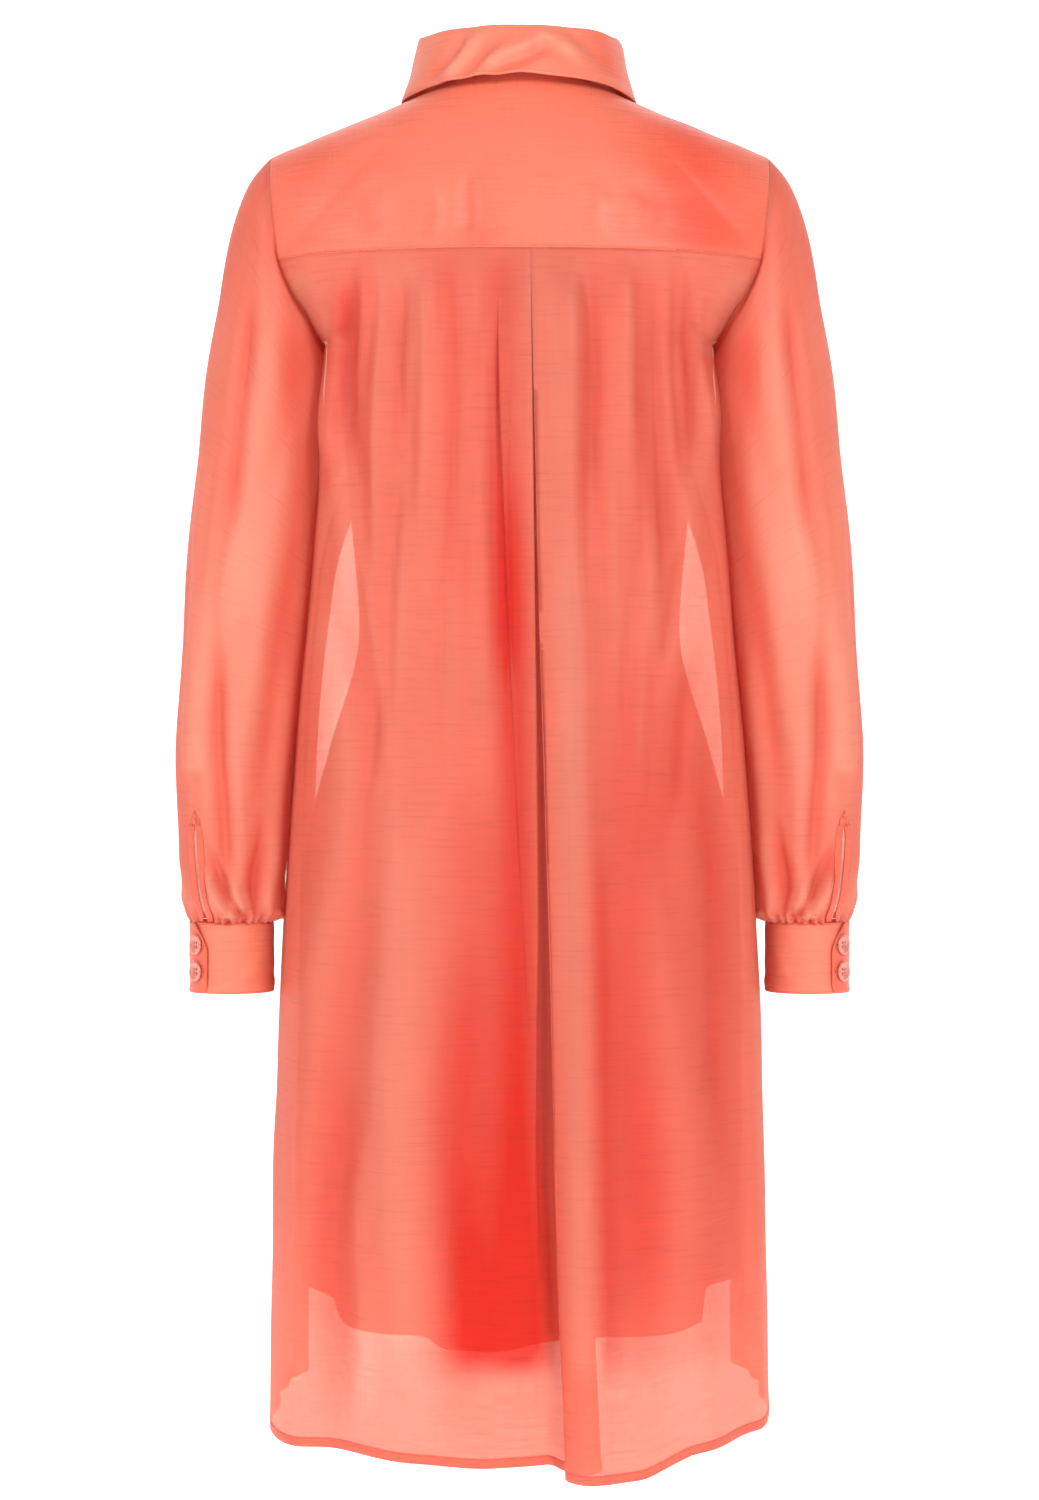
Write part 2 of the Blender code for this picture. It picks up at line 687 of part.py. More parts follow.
def make_binding(name, surface, mirror):
    """A narrow strip round the slit's two sides and top, on the sleeve's own points."""
    places = sleeve_places()
    top = places.index(slit_place())
    points = []
    for row in (top - 1, top):
        ring = sleeve_ring(places[row], mirror)
        points += [ring[-2], ring[0], ring[1]]
    rings = [sleeve_ring(place, mirror) for place in places[top + 1 :]]
    rings[-1] = rings[-2] + (rings[-1] - rings[-2]) * BINDING_REACH
    for ring in rings:
        points += [ring[-2], ring[-1], ring[0], ring[1]]
    faces = [(0, 3, 4, 1), (1, 4, 5, 2), (3, 6, 7, 4), (4, 8, 9, 5)]
    for start in range(6, len(points) - 4, 4):
        faces.append((start, start + 4, start + 5, start + 1))
        faces.append((start + 2, start + 6, start + 7, start + 3))
    wall(name, points, turned(faces, mirror), BINDING, surface, out=(VOILE + BINDING) / 2 + 2 * SEAM)


def cuff_point(angle, drop, out=0.0):
    turn = math.radians(angle)
    return np.array(
        [
            CUFF_CENTRE_X + (CUFF_HALF_WIDTH + out) * math.cos(turn),
            (CUFF_HALF_DEPTH + out) * math.sin(turn),
            CUFF_TOP_Z - drop,
        ]
    )


def cuff_out(run):
    """How far out the cuff lies, so that its start passes over its end. Run is degrees from its edge."""
    over = np.clip((CUFF_OVERLAP + 60 - run) / 60, 0, 1)
    under = np.clip((run - 300) / 60, 0, 1)
    return 0.0012 * (over * over * (3 - 2 * over) - under * under * (3 - 2 * under))


def make_cuff(name, surface, mirror):
    runs = np.linspace(0, 360 + CUFF_OVERLAP, 36)
    grid = np.array(
        [
            [cuff_point(CUFF_EDGE_ANGLE - run, drop, cuff_out(run)) for run in runs[::-1]]
            for drop in (0, CUFF_HEIGHT / 2, CUFF_HEIGHT)
        ]
    )
    sheet(name, mirrored(grid) if mirror else grid, DOUBLE, surface)


def make_button(name, centre, away, surface):
    """A turned disc with a raised rim, flat at its back, facing away from the cloth."""
    away = np.array(away) / np.linalg.norm(away)
    side = np.cross(away, (0, 0, 1))
    side /= np.linalg.norm(side)
    up = np.cross(side, away)
    profile = [  # share of the radius, share of the thickness
        (0.66, 0.66),
        (0.84, 1.00),
        (1.00, 0.60),
        (0.90, 0.00),
    ]
    count = 12
    points = []
    for radius, height in profile:
        for turn in np.linspace(0, 2 * math.pi, count, endpoint=False):
            spoke = side * math.cos(turn) + up * math.sin(turn)
            points.append(centre + spoke * radius * BUTTON_RADIUS + away * height * BUTTON_THICKNESS)
    rings = len(profile)
    faces = [
        (
            ring * count + spoke,
            ring * count + (spoke + 1) % count,
            (ring + 1) * count + (spoke + 1) % count,
            (ring + 1) * count + spoke,
        )
        for ring in range(rings - 1)
        for spoke in range(count)
    ]
    faces.append(tuple(range(count)))
    faces.append(tuple(range((rings - 1) * count, rings * count)))
    add_object(name, points, faces, surface)


def make_buttons(band, surface):
    lift = DOUBLE / 2 + 0.0004
    middle = band[1:, 1]
    for number in range(FRONT_BUTTONS):
        z = FIRST_BUTTON_Z - number * BUTTON_STEP
        row = int(np.argmin(np.abs(middle[:, 2] - z)))
        row = min(max(row, 1), len(middle) - 2)
        near = band[1:][row - 1 : row + 2]
        away = np.cross(near[1, 2] - near[1, 0], near[2, 1] - near[0, 1])
        away *= math.copysign(1, -away[1] + away[0])
        away /= np.linalg.norm(away)
        spot = np.array([np.interp(-z, -middle[:, 2], middle[:, axis]) for axis in range(3)])
        make_button(f"button_front_{number + 1}", spot + away * (lift + 0.0003), away, surface)
    end = stand_point(NECK_END - 8, 0.5)
    before = stand_point(NECK_END - 16, 0.5)
    above = stand_point(NECK_END - 8, 0.8)
    away = np.cross(above - end, before - end)
    away *= math.copysign(1, -away[1])
    away /= np.linalg.norm(away)
    make_button("button_stand", end + away * (lift + 0.0003), away, surface)
    for side, sign in (("left", 1), ("right", -1)):
        for number, drop in enumerate(CUFF_BUTTON_DROPS):
            spot = cuff_point(CUFF_BUTTON_ANGLE, drop, cuff_out(CUFF_EDGE_ANGLE - CUFF_BUTTON_ANGLE))
            turn = math.radians(CUFF_BUTTON_ANGLE)
            away = np.array([math.cos(turn) / CUFF_HALF_WIDTH, math.sin(turn) / CUFF_HALF_DEPTH, 0])
            away /= np.linalg.norm(away)
            spot = (spot + away * (lift + 0.0004)) * (sign, 1, 1)
            make_button(f"button_cuff_{side}_{number + 1}", spot, away * (sign, 1, 1), surface)


def slip_point(angle, z):
    """A point on the slip: angle 0 at the centre back, 90 at the wearer's left side, 180 at the front."""
    turn = math.radians(angle)
    centre, half = read(SLIP, "centre", z), read(SLIP, "half", z)
    reach = read(SLIP, "back", z) - centre if math.cos(turn) > 0 else centre - read(SLIP, "front", z)
    down = np.clip((-0.55 - z) / 0.39, 0, 1)
    flute = SLIP_FLUTE * down * math.cos(math.radians(SLIP_FLUTES * angle))
    return np.array([(half + flute) * math.sin(turn), centre + (reach + flute) * math.cos(turn), z])


def slip_panel(angles, rows):
    grid = []
    for share in np.linspace(0, 1, rows):
        row = []
        for angle in angles:
            signed = (angle + 180) % 360 - 180
            top = read(SLIP_TOP, "z", abs(signed))
            hem = SLIP_HEM_Z + read(SLIP_HEM, "rise", signed)
            row.append(slip_point(angle, top + (hem - top) * share))
        grid.append(row)
    return np.array(grid)


def make_slip(surface):
    sheet("slip_back", slip_panel(np.linspace(89.9, -89.9, 25), 13), VOILE, surface)
    sheet("slip_front", slip_panel(np.linspace(269.9, 90.1, 25), 13), VOILE, surface)
    for side, sign in (("left", 1), ("right", -1)):
        back_top, front_top = slip_point(52, -0.108), slip_point(124, -0.132)
        share = np.linspace(0, 1, 12)[:, None]
        peak = 2 * np.array(STRAP_CREST) - (back_top + front_top) / 2
        blend = (1 - share) ** 2 * back_top + 2 * share * (1 - share) * peak
        path = blend + share**2 * front_top + (0, 0, 0.0012)
        across = np.array([1, 0, -0.35])
        across /= np.linalg.norm(across)
        half = across * STRAP_WIDTH / 2
        grid = np.array([[point - half, point, point + half] for point in path])
        grid = grid * (sign, 1, 1)
        sheet(f"strap_{side}", grid[:, ::sign], VOILE, surface)


def main():
    for old in list(bpy.data.objects):
        bpy.data.objects.remove(old, do_unlink=True)
    sheer = material("voile", CORAL, 0.6)
    doubled = material("doubled_voile", CORAL, 0.6)
    lining = material("lining", DEEP_CORAL, 0.6)
    shell = material("button", BUTTON_PINK, 0.35)
    make_back(sheer)
    make_yoke(doubled)
    band = make_fronts(sheer, doubled)
    make_collar(doubled)
    for side, mirror in (("left", False), ("right", True)):
        make_sleeve(f"sleeve_{side}", sheer, mirror)
        make_binding(f"slit_binding_{side}", doubled, mirror)
        make_cuff(f"cuff_{side}", doubled, mirror)
    make_buttons(band, shell)
    make_slip(lining)


main()
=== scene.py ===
import math
import bmesh
import bpy
import numpy as np
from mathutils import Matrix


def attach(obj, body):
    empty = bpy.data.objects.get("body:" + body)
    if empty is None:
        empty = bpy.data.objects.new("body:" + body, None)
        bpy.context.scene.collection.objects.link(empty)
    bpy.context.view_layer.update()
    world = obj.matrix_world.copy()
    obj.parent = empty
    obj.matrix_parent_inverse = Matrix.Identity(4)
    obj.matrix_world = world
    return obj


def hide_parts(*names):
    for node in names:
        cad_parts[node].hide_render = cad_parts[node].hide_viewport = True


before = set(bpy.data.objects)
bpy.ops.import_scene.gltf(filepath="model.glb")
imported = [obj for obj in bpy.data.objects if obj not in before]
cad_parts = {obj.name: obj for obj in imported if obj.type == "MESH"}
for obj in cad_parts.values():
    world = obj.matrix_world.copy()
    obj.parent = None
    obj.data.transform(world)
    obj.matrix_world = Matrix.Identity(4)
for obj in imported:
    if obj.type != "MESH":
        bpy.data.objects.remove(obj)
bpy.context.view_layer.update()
scene = bpy.context.scene
finer = 1.0  # share of the full number of rows and columns

# ---- shared sizes of the cut, in metres ----
cut = {
    "yokeSeamZ": -0.129,
    "underarmZ": -0.184,
    "hemZ": -1.010,
    "hemStartZ": -0.800,
    "curvePower": 2.3,
    "seam": 0.0004,
    "bandWidth": 0.028,
    "hemDepth": 0.007,
    "seamAllowance": 0.008,
}
bothSides = (("Left", 1), ("Right", -1))
bandUnits = (1000,) * 6 + (1, 1)  # a band's six lengths and two strengths


def smoothStep(value):
    value = np.clip(value, 0, 1)
    return value * value * (3 - 2 * value)


def bell(value, width):  # 1 in the middle, falling off to both sides
    return np.exp(-((value / width) ** 2))


def inMetres(rows, units=1000):  # the rows are written in millimetres, except where units say otherwise
    return np.round(np.array(rows, float) / units, 7)


def tableOf(columns, rows, units=1000):
    return dict(zip(columns.split(), inMetres(rows, units).T))


def readTable(values, column, at):  # a smooth curve through the rows that never overshoots them
    keys, found = next(iter(values.values())), values[column]
    order = np.argsort(keys)
    keys, found = keys[order], found[order]
    at = np.clip(at, keys[0], keys[-1])
    step = np.diff(keys)
    slope = np.diff(found) / step
    both = slope[:-1] + slope[1:]
    inner = np.where(slope[:-1] * slope[1:] > 0, 2 * slope[:-1] * slope[1:] / np.where(both == 0, 1, both), 0)
    tangent = np.concatenate([slope[:1], inner, slope[-1:]])
    row = np.clip(np.searchsorted(keys, at) - 1, 0, len(step) - 1)
    t = (at - keys[row]) / step[row]
    return (
        found[row] * (1 + 2 * t) * (1 - t) ** 2
        + tangent[row] * step[row] * t * (1 - t) ** 2
        + found[row + 1] * t**2 * (3 - 2 * t)
        + tangent[row + 1] * step[row] * t**2 * (t - 1)
    )


def runLength(points):  # how far along the line each point is
    return np.concatenate([[0], np.cumsum(np.linalg.norm(np.diff(points, axis=0), axis=1))])


def along(points, places):  # points at these shares of the line's length
    points = np.asarray(points, float)
    run = runLength(points)
    wanted = np.asarray(places) * run[-1]
    return np.stack([np.interp(wanted, run, points[:, axis]) for axis in range(3)], axis=1)


def evenly(points, count):
    return along(points, np.linspace(0, 1, count))


def splineAt(values, at):  # a smooth curve through the rows, at places counted in rows
    values = np.asarray(values, float)
    last = len(values) - 1
    row = np.minimum(at.astype(int), last - 1)
    t = (at - row).reshape(-1, *([1] * (values.ndim - 1)))
    a, b = values[row], values[row + 1]
    before = np.where((row > 0).reshape(t.shape), values[np.maximum(row - 1, 0)], 2 * a - b)
    after = np.where((row + 2 <= last).reshape(t.shape), values[np.minimum(row + 2, last)], 2 * b - a)
    return a + 0.5 * t * (b - before + t * (2 * before - 5 * a + 4 * b - after + t * (3 * (a - b) + after - before)))


def splineRows(grid, count):
    return splineAt(grid, np.linspace(0, len(grid) - 1, count))


def refined(grid, rows, columns):
    return splineRows(splineRows(grid, rows).transpose(1, 0, 2), columns).transpose(1, 0, 2)


def dense(count):
    return max(4, int(round(count * finer)))


def gridNormals(grid, centre=None):  # unit normals that point away from the centre
    down = np.gradient(grid, axis=0)
    across = np.gradient(grid, axis=1)
    normals = np.cross(across, down)
    normals /= np.linalg.norm(normals, axis=2, keepdims=True) + 1e-12
    middle = grid.mean(axis=1, keepdims=True) if centre is None else np.array(centre, float)
    away = grid - middle
    away[..., 2] = 0
    return normals if (normals * away).sum() > 0 else -normals


def strokeField(grid, strokes):
    # each stroke is x, z at its start, x, z at its end, half width, height, and lies on the grid seen from behind
    moved = np.zeros(grid.shape[:2])
    for number, (x0, z0, x1, z1, width, height) in enumerate(strokes):
        run = np.array([x1 - x0, z1 - z0])
        length = np.hypot(*run)
        run /= length
        offset = np.stack([grid[..., 0] - x0, grid[..., 2] - z0], axis=-1)
        t = offset @ run / length
        side = offset @ np.array([-run[1], run[0]]) + 0.25 * width * np.sin(9 * t + 1.7 * number)
        fade = smoothStep(np.clip((t + 0.04) / 0.3, 0, 1) * np.clip((1.05 - t) / 0.45, 0, 1))
        near = bell(side, width) - 0.35 * bell(side - 2 * width, 1.3 * width)
        moved += height * fade * near
    return moved


def bandField(grid, bands):  # broad soft bands: x, z at each end, half width and strength at each end
    total = np.zeros(grid.shape[:2])
    for x0, z0, x1, z1, width0, width1, strength0, strength1 in bands:
        t = (grid[..., 2] - z0) / (z1 - z0)
        side = grid[..., 0] - (x0 + (x1 - x0) * t)
        width = width0 + (width1 - width0) * np.clip(t, 0, 1)
        strength = strength0 + (strength1 - strength0) * np.clip(t, 0, 1)
        reach = strength * smoothStep((t + 0.05) / 0.15) * smoothStep((1.12 - t) / 0.2)
        total += reach * bell(side, width)
    return total


def ripple(shape, seed, size, repeat=3):  # smooth unevenness with a fixed seed
    chance = np.random.default_rng(seed)
    rows, columns = np.meshgrid(np.linspace(0, 1, shape[0]), np.linspace(0, 1, shape[1]), indexing="ij")
    total = np.zeros(shape)
    for _ in range(5):
        a, b = chance.uniform(0.5, repeat * 1.6, 2)
        total += np.sin(2 * np.pi * (a * rows + b * columns) + chance.uniform(0, 6.28)) * chance.uniform(0.4, 1)
    return size * total / 2.4


def creased(grid, centre, strokes, seed, size, fade):  # folds and a slight unevenness, as far as fade lets them
    normals = gridNormals(grid, centre)
    uneven = ripple(grid.shape[:2], seed, size, 3)
    folded = grid + normals * strokeField(grid, strokes)[..., None] + normals * uneven[..., None]
    return grid + (folded - grid) * fade[..., None]


def heldEnds(share, width):  # 0 at both ends, and 1 from this share inward
    return np.clip(np.minimum(share, 1 - share) / width, 0, 1)


def signedAngle(angle):
    return (angle + 180) % 360 - 180


def addMesh(name, points, faces, surface, uv=None, tone=None):
    mesh = bpy.data.meshes.new(name)
    mesh.from_pydata(np.asarray(points).tolist(), [], faces)
    if uv is not None:
        layer = mesh.uv_layers.new(name="cloth")
        index = np.empty(len(mesh.loops), np.int32)
        mesh.loops.foreach_get("vertex_index", index)
        layer.data.foreach_set("uv", np.asarray(uv, np.float32)[index].ravel())
    if tone is not None:
        mesh.attributes.new("tone", "FLOAT", "POINT").data.foreach_set("value", np.asarray(tone, np.float32).ravel())
    mesh.materials.append(surface)
    mesh.shade_smooth()
    made = bpy.data.objects.new(name, mesh)
    scene.collection.objects.link(made)
    return made


def clothUv(grid):
    across, down = runLength(grid[len(grid) // 2]), runLength(grid[:, grid.shape[1] // 3])
    return np.stack(np.meshgrid(across, down), axis=-1)


def makeShell(name, grid, cloth, wall, centre=None, shift=0.0, uv=None, tone=None, weldAbove=None):
    # a thin closed shell about the grid. weldAbove marks the rows whose last column meets the first.
    grid = np.asarray(grid, float)
    normals = gridNormals(grid, centre)
    rows, columns = grid.shape[:2]
    if weldAbove is not None:
        wrapped = normals[weldAbove, 0] + normals[weldAbove, -1]
        wrapped /= np.linalg.norm(wrapped, axis=1, keepdims=True)
        normals[weldAbove, 0] = normals[weldAbove, -1] = wrapped
    flat, out = grid.reshape(-1, 3), normals.reshape(-1, 3)
    uv = np.tile((clothUv(grid) if uv is None else uv).reshape(-1, 2), (2, 1))
    outer = flat + out * (shift + wall / 2)
    inner = flat + out * (shift - wall / 2)
    index = np.arange(rows * columns).reshape(rows, columns)
    if weldAbove is not None:
        index[weldAbove, -1] = index[weldAbove, 0]
    quads = np.stack([index[:-1, :-1], index[1:, :-1], index[1:, 1:], index[:-1, 1:]], axis=-1).reshape(-1, 4)
    corner = outer[quads]
    flatNormal = np.cross(corner[:, 2] - corner[:, 0], corner[:, 3] - corner[:, 1])
    if (flatNormal * out[quads[:, 0]]).sum() < 0:
        quads = quads[:, ::-1]
    count = rows * columns
    edges = np.concatenate([quads[:, [0, 1]], quads[:, [1, 2]], quads[:, [2, 3]], quads[:, [3, 0]]])
    known = set(map(tuple, edges.tolist()))
    rim = [(b, a, a + count, b + count) for a, b in edges.tolist() if (b, a) not in known]
    faces = quads.tolist() + (quads[:, ::-1] + count).tolist() + rim
    both = None if tone is None else np.tile(np.asarray(tone).ravel(), 2)
    piece = addMesh(name, np.concatenate([outer, inner]), faces, materials[cloth], uv, both)
    if weldAbove is not None:
        dropLoose(piece)
    return piece


def dropLoose(piece):
    bm = bmesh.new()
    bm.from_mesh(piece.data)
    bmesh.ops.delete(bm, geom=[v for v in bm.verts if not v.link_faces], context="VERTS")
    bm.to_mesh(piece.data)
    bm.free()


def onSide(grid, sign):  # grids are made for the wearer's left
    return grid if sign > 0 else np.asarray(grid)[:, ::-1] * (-1, 1, 1)


def place(piece, nodes=()):
    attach(piece, "root")
    if nodes:
        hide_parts(*nodes)
    return piece


trims = {}  # the sewing and strips on each of them


def addCloth(name, pieceName, node, cloth, grid, centre=None, wall=None, **form):
    look = cloths[cloth]
    piece = makeShell(pieceName, grid, cloth, wall or look["wall"], centre, **form)
    place(piece, [node])
    trims[name] = []


def addTrim(name, piece):
    trims[name].append(place(piece))


def insetLine(grid, edge, distance, centre, out=0.0):
    # the line at this distance inside an edge of the grid, lifted off the cloth by out, with its outward normals
    normals = gridNormals(grid, centre)
    lines, away = {
        "top": (grid, normals),
        "bottom": (grid[::-1], normals[::-1]),
        "first": (grid.transpose(1, 0, 2), normals.transpose(1, 0, 2)),
        "last": (grid[:, ::-1].transpose(1, 0, 2), normals[:, ::-1].transpose(1, 0, 2)),
    }[edge]
    step = np.linalg.norm(np.diff(lines, axis=0), axis=2)
    run = np.concatenate([np.zeros((1, lines.shape[1])), np.cumsum(step, axis=0)])
    row = np.clip((run < distance).sum(axis=0) - 1, 0, len(lines) - 2)
    column = np.arange(lines.shape[1])
    t = ((distance - run[row, column]) / (step[row, column] + 1e-9))[:, None]
    points = lines[row, column] * (1 - t) + lines[row + 1, column] * t
    up = away[row, column] * (1 - t) + away[row + 1, column] * t
    return points + up * out, up


turning = {"wall": 0.0004, "shift": -0.0007, "start": 0.0002, "rows": 5}


def addTurning(name, pieceName, grid, edge, depth, centre, middle=None):
    # the turned-in cloth along an edge, laid inside the panel
    shares = np.linspace(turning["start"], depth, turning["rows"])
    strip = np.array([insetLine(grid, edge, share, centre)[0] for share in shares])
    piece = makeShell(pieceName, strip, "voile", turning["wall"], middle or centre, turning["shift"])
    addTrim(name, piece)


# ---- materials ----
# each cloth's deep colour serves painted shade and its pale colour painted light, through the tone attribute
cloths = {
    "voile": {
        "colour": (0.85, 0.244, 0.162), "deep": (0.74, 0.025, 0.01), "pale": (0.9, 0.45, 0.32),
        "opacity": 0.64, "roughness": 0.48, "sheen": 0.1, "through": 0.42, "wall": 0.0005, "slot": "voile",
    },
    "doubledVoile": {
        "colour": (0.815, 0.22, 0.134), "deep": (0.75, 0.058, 0.026), "pale": (0.88, 0.42, 0.28),
        "opacity": 0.94, "roughness": 0.46, "sheen": 0.1, "through": 0.2, "wall": 0.0011, "slot": "doubled_voile",
    },
    "lining": {
        "colour": (0.82, 0.085, 0.058), "deep": (0.8, 0.03, 0.024), "pale": (0.86, 0.18, 0.13),
        "opacity": 1.0, "roughness": 0.46, "sheen": 0.08, "through": 0.08, "wall": 0.0005, "slot": "lining",
    },
    "thread": {
        "colour": (0.78, 0.13, 0.08), "deep": (0.78, 0.13, 0.08), "pale": (0.78, 0.13, 0.08),
        "opacity": 1.0, "roughness": 0.6, "sheen": 0.1, "through": 0.0,
    },
}
weave = {
    "slubLength": 34.0,  # repeats in a metre along the weft
    "slubPitch": 900.0,  # repeats in a metre across it
    "streakLength": 24.0,
    "streakPitch": 420.0,
    "warpPitch": 800.0,
    "colourChange": 0.28,
    "streakChange": 0.11,
    "opacityChange": 0.16,
    "bump": 0.00014,
}


def nodeMaker(tree):
    tree.nodes.clear()

    def make(kind, **values):  # values are the node's own settings, inputs by number such as i0, or inputs by name
        node = tree.nodes.new(kind)
        for key, value in values.items():
            if hasattr(node, key):
                setattr(node, key, value)
                continue
            socket = node.inputs[int(key[1:]) if key[1:].isdigit() else key.replace("_", " ")]
            if isinstance(value, bpy.types.NodeSocket):
                tree.links.new(value, socket)
            else:
                socket.default_value = value
        return node

    def reckon(operation, first, second, clamp=False):
        return make("ShaderNodeMath", operation=operation, use_clamp=clamp, i0=first, i1=second).outputs[0]

    return make, reckon


def newMaterial(name):
    material = bpy.data.materials.new(name)
    material.use_nodes = True
    return material, *nodeMaker(material.node_tree)


def clothMaterial(name, look):
    material, make, reckon = newMaterial(name)
    source = make("ShaderNodeUVMap", uv_map="cloth").outputs[0]

    def noise(across, down, detail, seed):  # repeats in a metre each way
        spread = make("ShaderNodeMapping", Vector=source, Scale=(across, down, 1), Location=(seed, seed * 0.7, 0))
        made = make("ShaderNodeTexNoise", Vector=spread.outputs[0], Scale=1.0, Detail=detail, Roughness=0.6)
        return made.outputs["Fac"]

    slub = noise(weave["slubLength"], weave["slubPitch"], 3.0, 3.1)
    warp = noise(weave["warpPitch"], weave["slubLength"], 2.0, 7.7)
    cloudy = noise(9.0, 14.0, 3.0, 1.3)
    threads = reckon("ADD", reckon("MULTIPLY", slub, 0.68), reckon("MULTIPLY", warp, 0.32))
    thick = reckon("SUBTRACT", threads, 0.5)
    tone = reckon("MULTIPLY", thick, -weave["colourChange"] * 2.2)
    tone = reckon("ADD", tone, reckon("MULTIPLY", reckon("SUBTRACT", cloudy, 0.5), 0.10))
    streak = reckon("SUBTRACT", noise(weave["streakLength"], weave["streakPitch"], 2.0, 5.3), 0.53, True)
    tone = reckon("ADD", reckon("ADD", tone, reckon("MULTIPLY", streak, -weave["streakChange"] * 4)), 1.0)
    # the tone attribute paints shade and light: towards the deep colour for painted shade in fold valleys, recesses
    # and shaded sides (partly the deeper colour of doubled and overlapping voile), towards the pale colour for painted
    # light on crests and lit sides
    paintedShadeAndTone = make("ShaderNodeAttribute", attribute_name="tone").outputs["Fac"]
    colour = (*look["colour"], 1)
    for sign, other in ((1.0, "deep"), (-1.0, "pale")):
        share = reckon("MULTIPLY", paintedShadeAndTone, sign, True)
        colour = make("ShaderNodeMix", data_type="RGBA", i0=share, i6=colour, i7=(*look[other], 1)).outputs[2]
    colour = make("ShaderNodeVectorMath", operation="SCALE", i0=colour, Scale=tone).outputs[0]
    bump = make("ShaderNodeBump", Strength=0.5, Distance=weave["bump"], Height=threads).outputs[0]
    result = make(
        "ShaderNodeBsdfPrincipled",
        Base_Color=colour,
        Roughness=reckon("ADD", reckon("MULTIPLY", slub, 0.16), look["roughness"] - 0.08),
        Normal=bump,
        Sheen_Weight=look["sheen"],
        Sheen_Roughness=0.4,
        Sheen_Tint=(1.0, 0.80, 0.72, 1),
        Specular_IOR_Level=0.35,
    ).outputs[0]
    if look["through"]:
        glow = make("ShaderNodeBsdfTranslucent", Color=colour, Normal=bump).outputs[0]
        result = make("ShaderNodeMixShader", i0=look["through"], i1=result, i2=glow).outputs[0]
    if look["opacity"] < 1:
        opacity = reckon("ADD", reckon("MULTIPLY", thick, weave["opacityChange"] * 2), look["opacity"])
        opacity = reckon("ADD", opacity, reckon("MULTIPLY", paintedShadeAndTone, 0.20), True)
        clear = make("ShaderNodeBsdfTransparent", Color=(0.95, 0.82, 0.76, 1)).outputs[0]
        result = make("ShaderNodeMixShader", i0=opacity, i1=clear, i2=result).outputs[0]
    make("ShaderNodeOutputMaterial", Surface=result)
    return material


def buttonMaterial():
    material, make, reckon = newMaterial("pearlyButton")
    spot = make("ShaderNodeTexCoord").outputs["Object"]
    cloudy = make("ShaderNodeTexNoise", Vector=spot, Scale=160.0, Detail=4.0).outputs["Fac"]
    shades = {"i6": (0.5, 0.12, 0.09, 1), "i7": (0.7, 0.23, 0.175, 1)}
    colour = make("ShaderNodeMix", data_type="RGBA", i0=cloudy, **shades).outputs[2]
    rough = reckon("ADD", reckon("MULTIPLY", cloudy, 0.2), 0.15)
    pearl = {"Base_Color": colour, "Roughness": rough, "Coat_Weight": 0.4, "Coat_Roughness": 0.15}
    make("ShaderNodeOutputMaterial", Surface=make("ShaderNodeBsdfPrincipled", **pearl).outputs[0])
    return material


materials = {name: clothMaterial(name, look) for name, look in cloths.items()}
materials["button"] = buttonMaterial()
print("materials made")

# ---- the body's sections ----
body = tableOf("z half back frontBulge", [
    (-1012, 189, 125, 10), (-850, 186.5, 120, 10), (-705, 183, 115, 10), (-598, 178, 110, 10), (-492, 170.5, 104, 10),
    (-408, 162.5, 100, 12), (-302, 154, 102, 16), (-249, 150, 105, 18), (-184, 146, 108, 18), (-129, 140, 100, 16),
])
armholeLine = tableOf("angle backX frontX", [
    (0, 188, 188), (60, 185, 181.5), (84, 182, 176.5), (102, 179.3, 172), (120, 171.5, 166), (140, 158, 156),
    (180, 146, 146),
], (1, 1000, 1000))
armholeSize = {
    "centreZ": (-0.0436 - 0.184) / 2,
    "halfHeight": (0.184 - 0.0436) / 2,
    "backDepth": 0.052,
    "frontDepth": 0.050,
}


def armholePoint(angle):  # 0 is the shoulder tip, 180 the underarm, and under 0 is the front
    angle = np.asarray(angle, float)
    turn = np.radians(angle)
    backX, frontX = (readTable(armholeLine, column, abs(angle)) for column in ("backX", "frontX"))
    x = np.where(angle > 0, backX, frontX)
    depth = np.where(angle > 0, armholeSize["backDepth"], armholeSize["frontDepth"])
    z = armholeSize["centreZ"] + armholeSize["halfHeight"] * np.cos(turn)
    return np.stack([x, depth * np.sin(turn), z], axis=-1)


def armholeAngle(z):
    return math.degrees(math.acos(np.clip((z - armholeSize["centreZ"]) / armholeSize["halfHeight"], -1, 1)))


def arcHalf(z):
    if z <= cut["underarmZ"]:
        return float(readTable(body, "half", z))
    x, y, _ = armholePoint(armholeAngle(z))
    return x / (1 - (y / readTable(body, "back", z)) ** cut["curvePower"]) ** (1 / cut["curvePower"])


def backDepth(x, z):
    share = 1 - np.clip(np.abs(x) / arcHalf(z), 0, 1) ** cut["curvePower"]
    return readTable(body, "back", z) * share ** (1 / cut["curvePower"])


def downShare(z):
    return np.clip((cut["underarmZ"] - z) / (cut["underarmZ"] - cut["hemZ"]), 0, 1)


# how far each hem hangs over its level
backHem = tableOf("x rise", [
    (-190, 18), (-165, 14), (-125, 9), (-110, 4), (-85, -4), (-36, -3), (-20, 4), (20, 4), (70, 8), (134, 11),
    (168, 9), (190, 8),
])
frontHem = {"Left": (0.008, 0.000), "Right": (0.018, 0.007)}  # at the side seam and at the open edge


def unevenHem(grid, rise):
    share = np.clip((cut["hemStartZ"] - grid[..., 2]) / (cut["hemStartZ"] - cut["hemZ"]), 0, 1) ** 2
    return grid + np.stack([0 * share, 0 * share, rise * share], axis=-1)


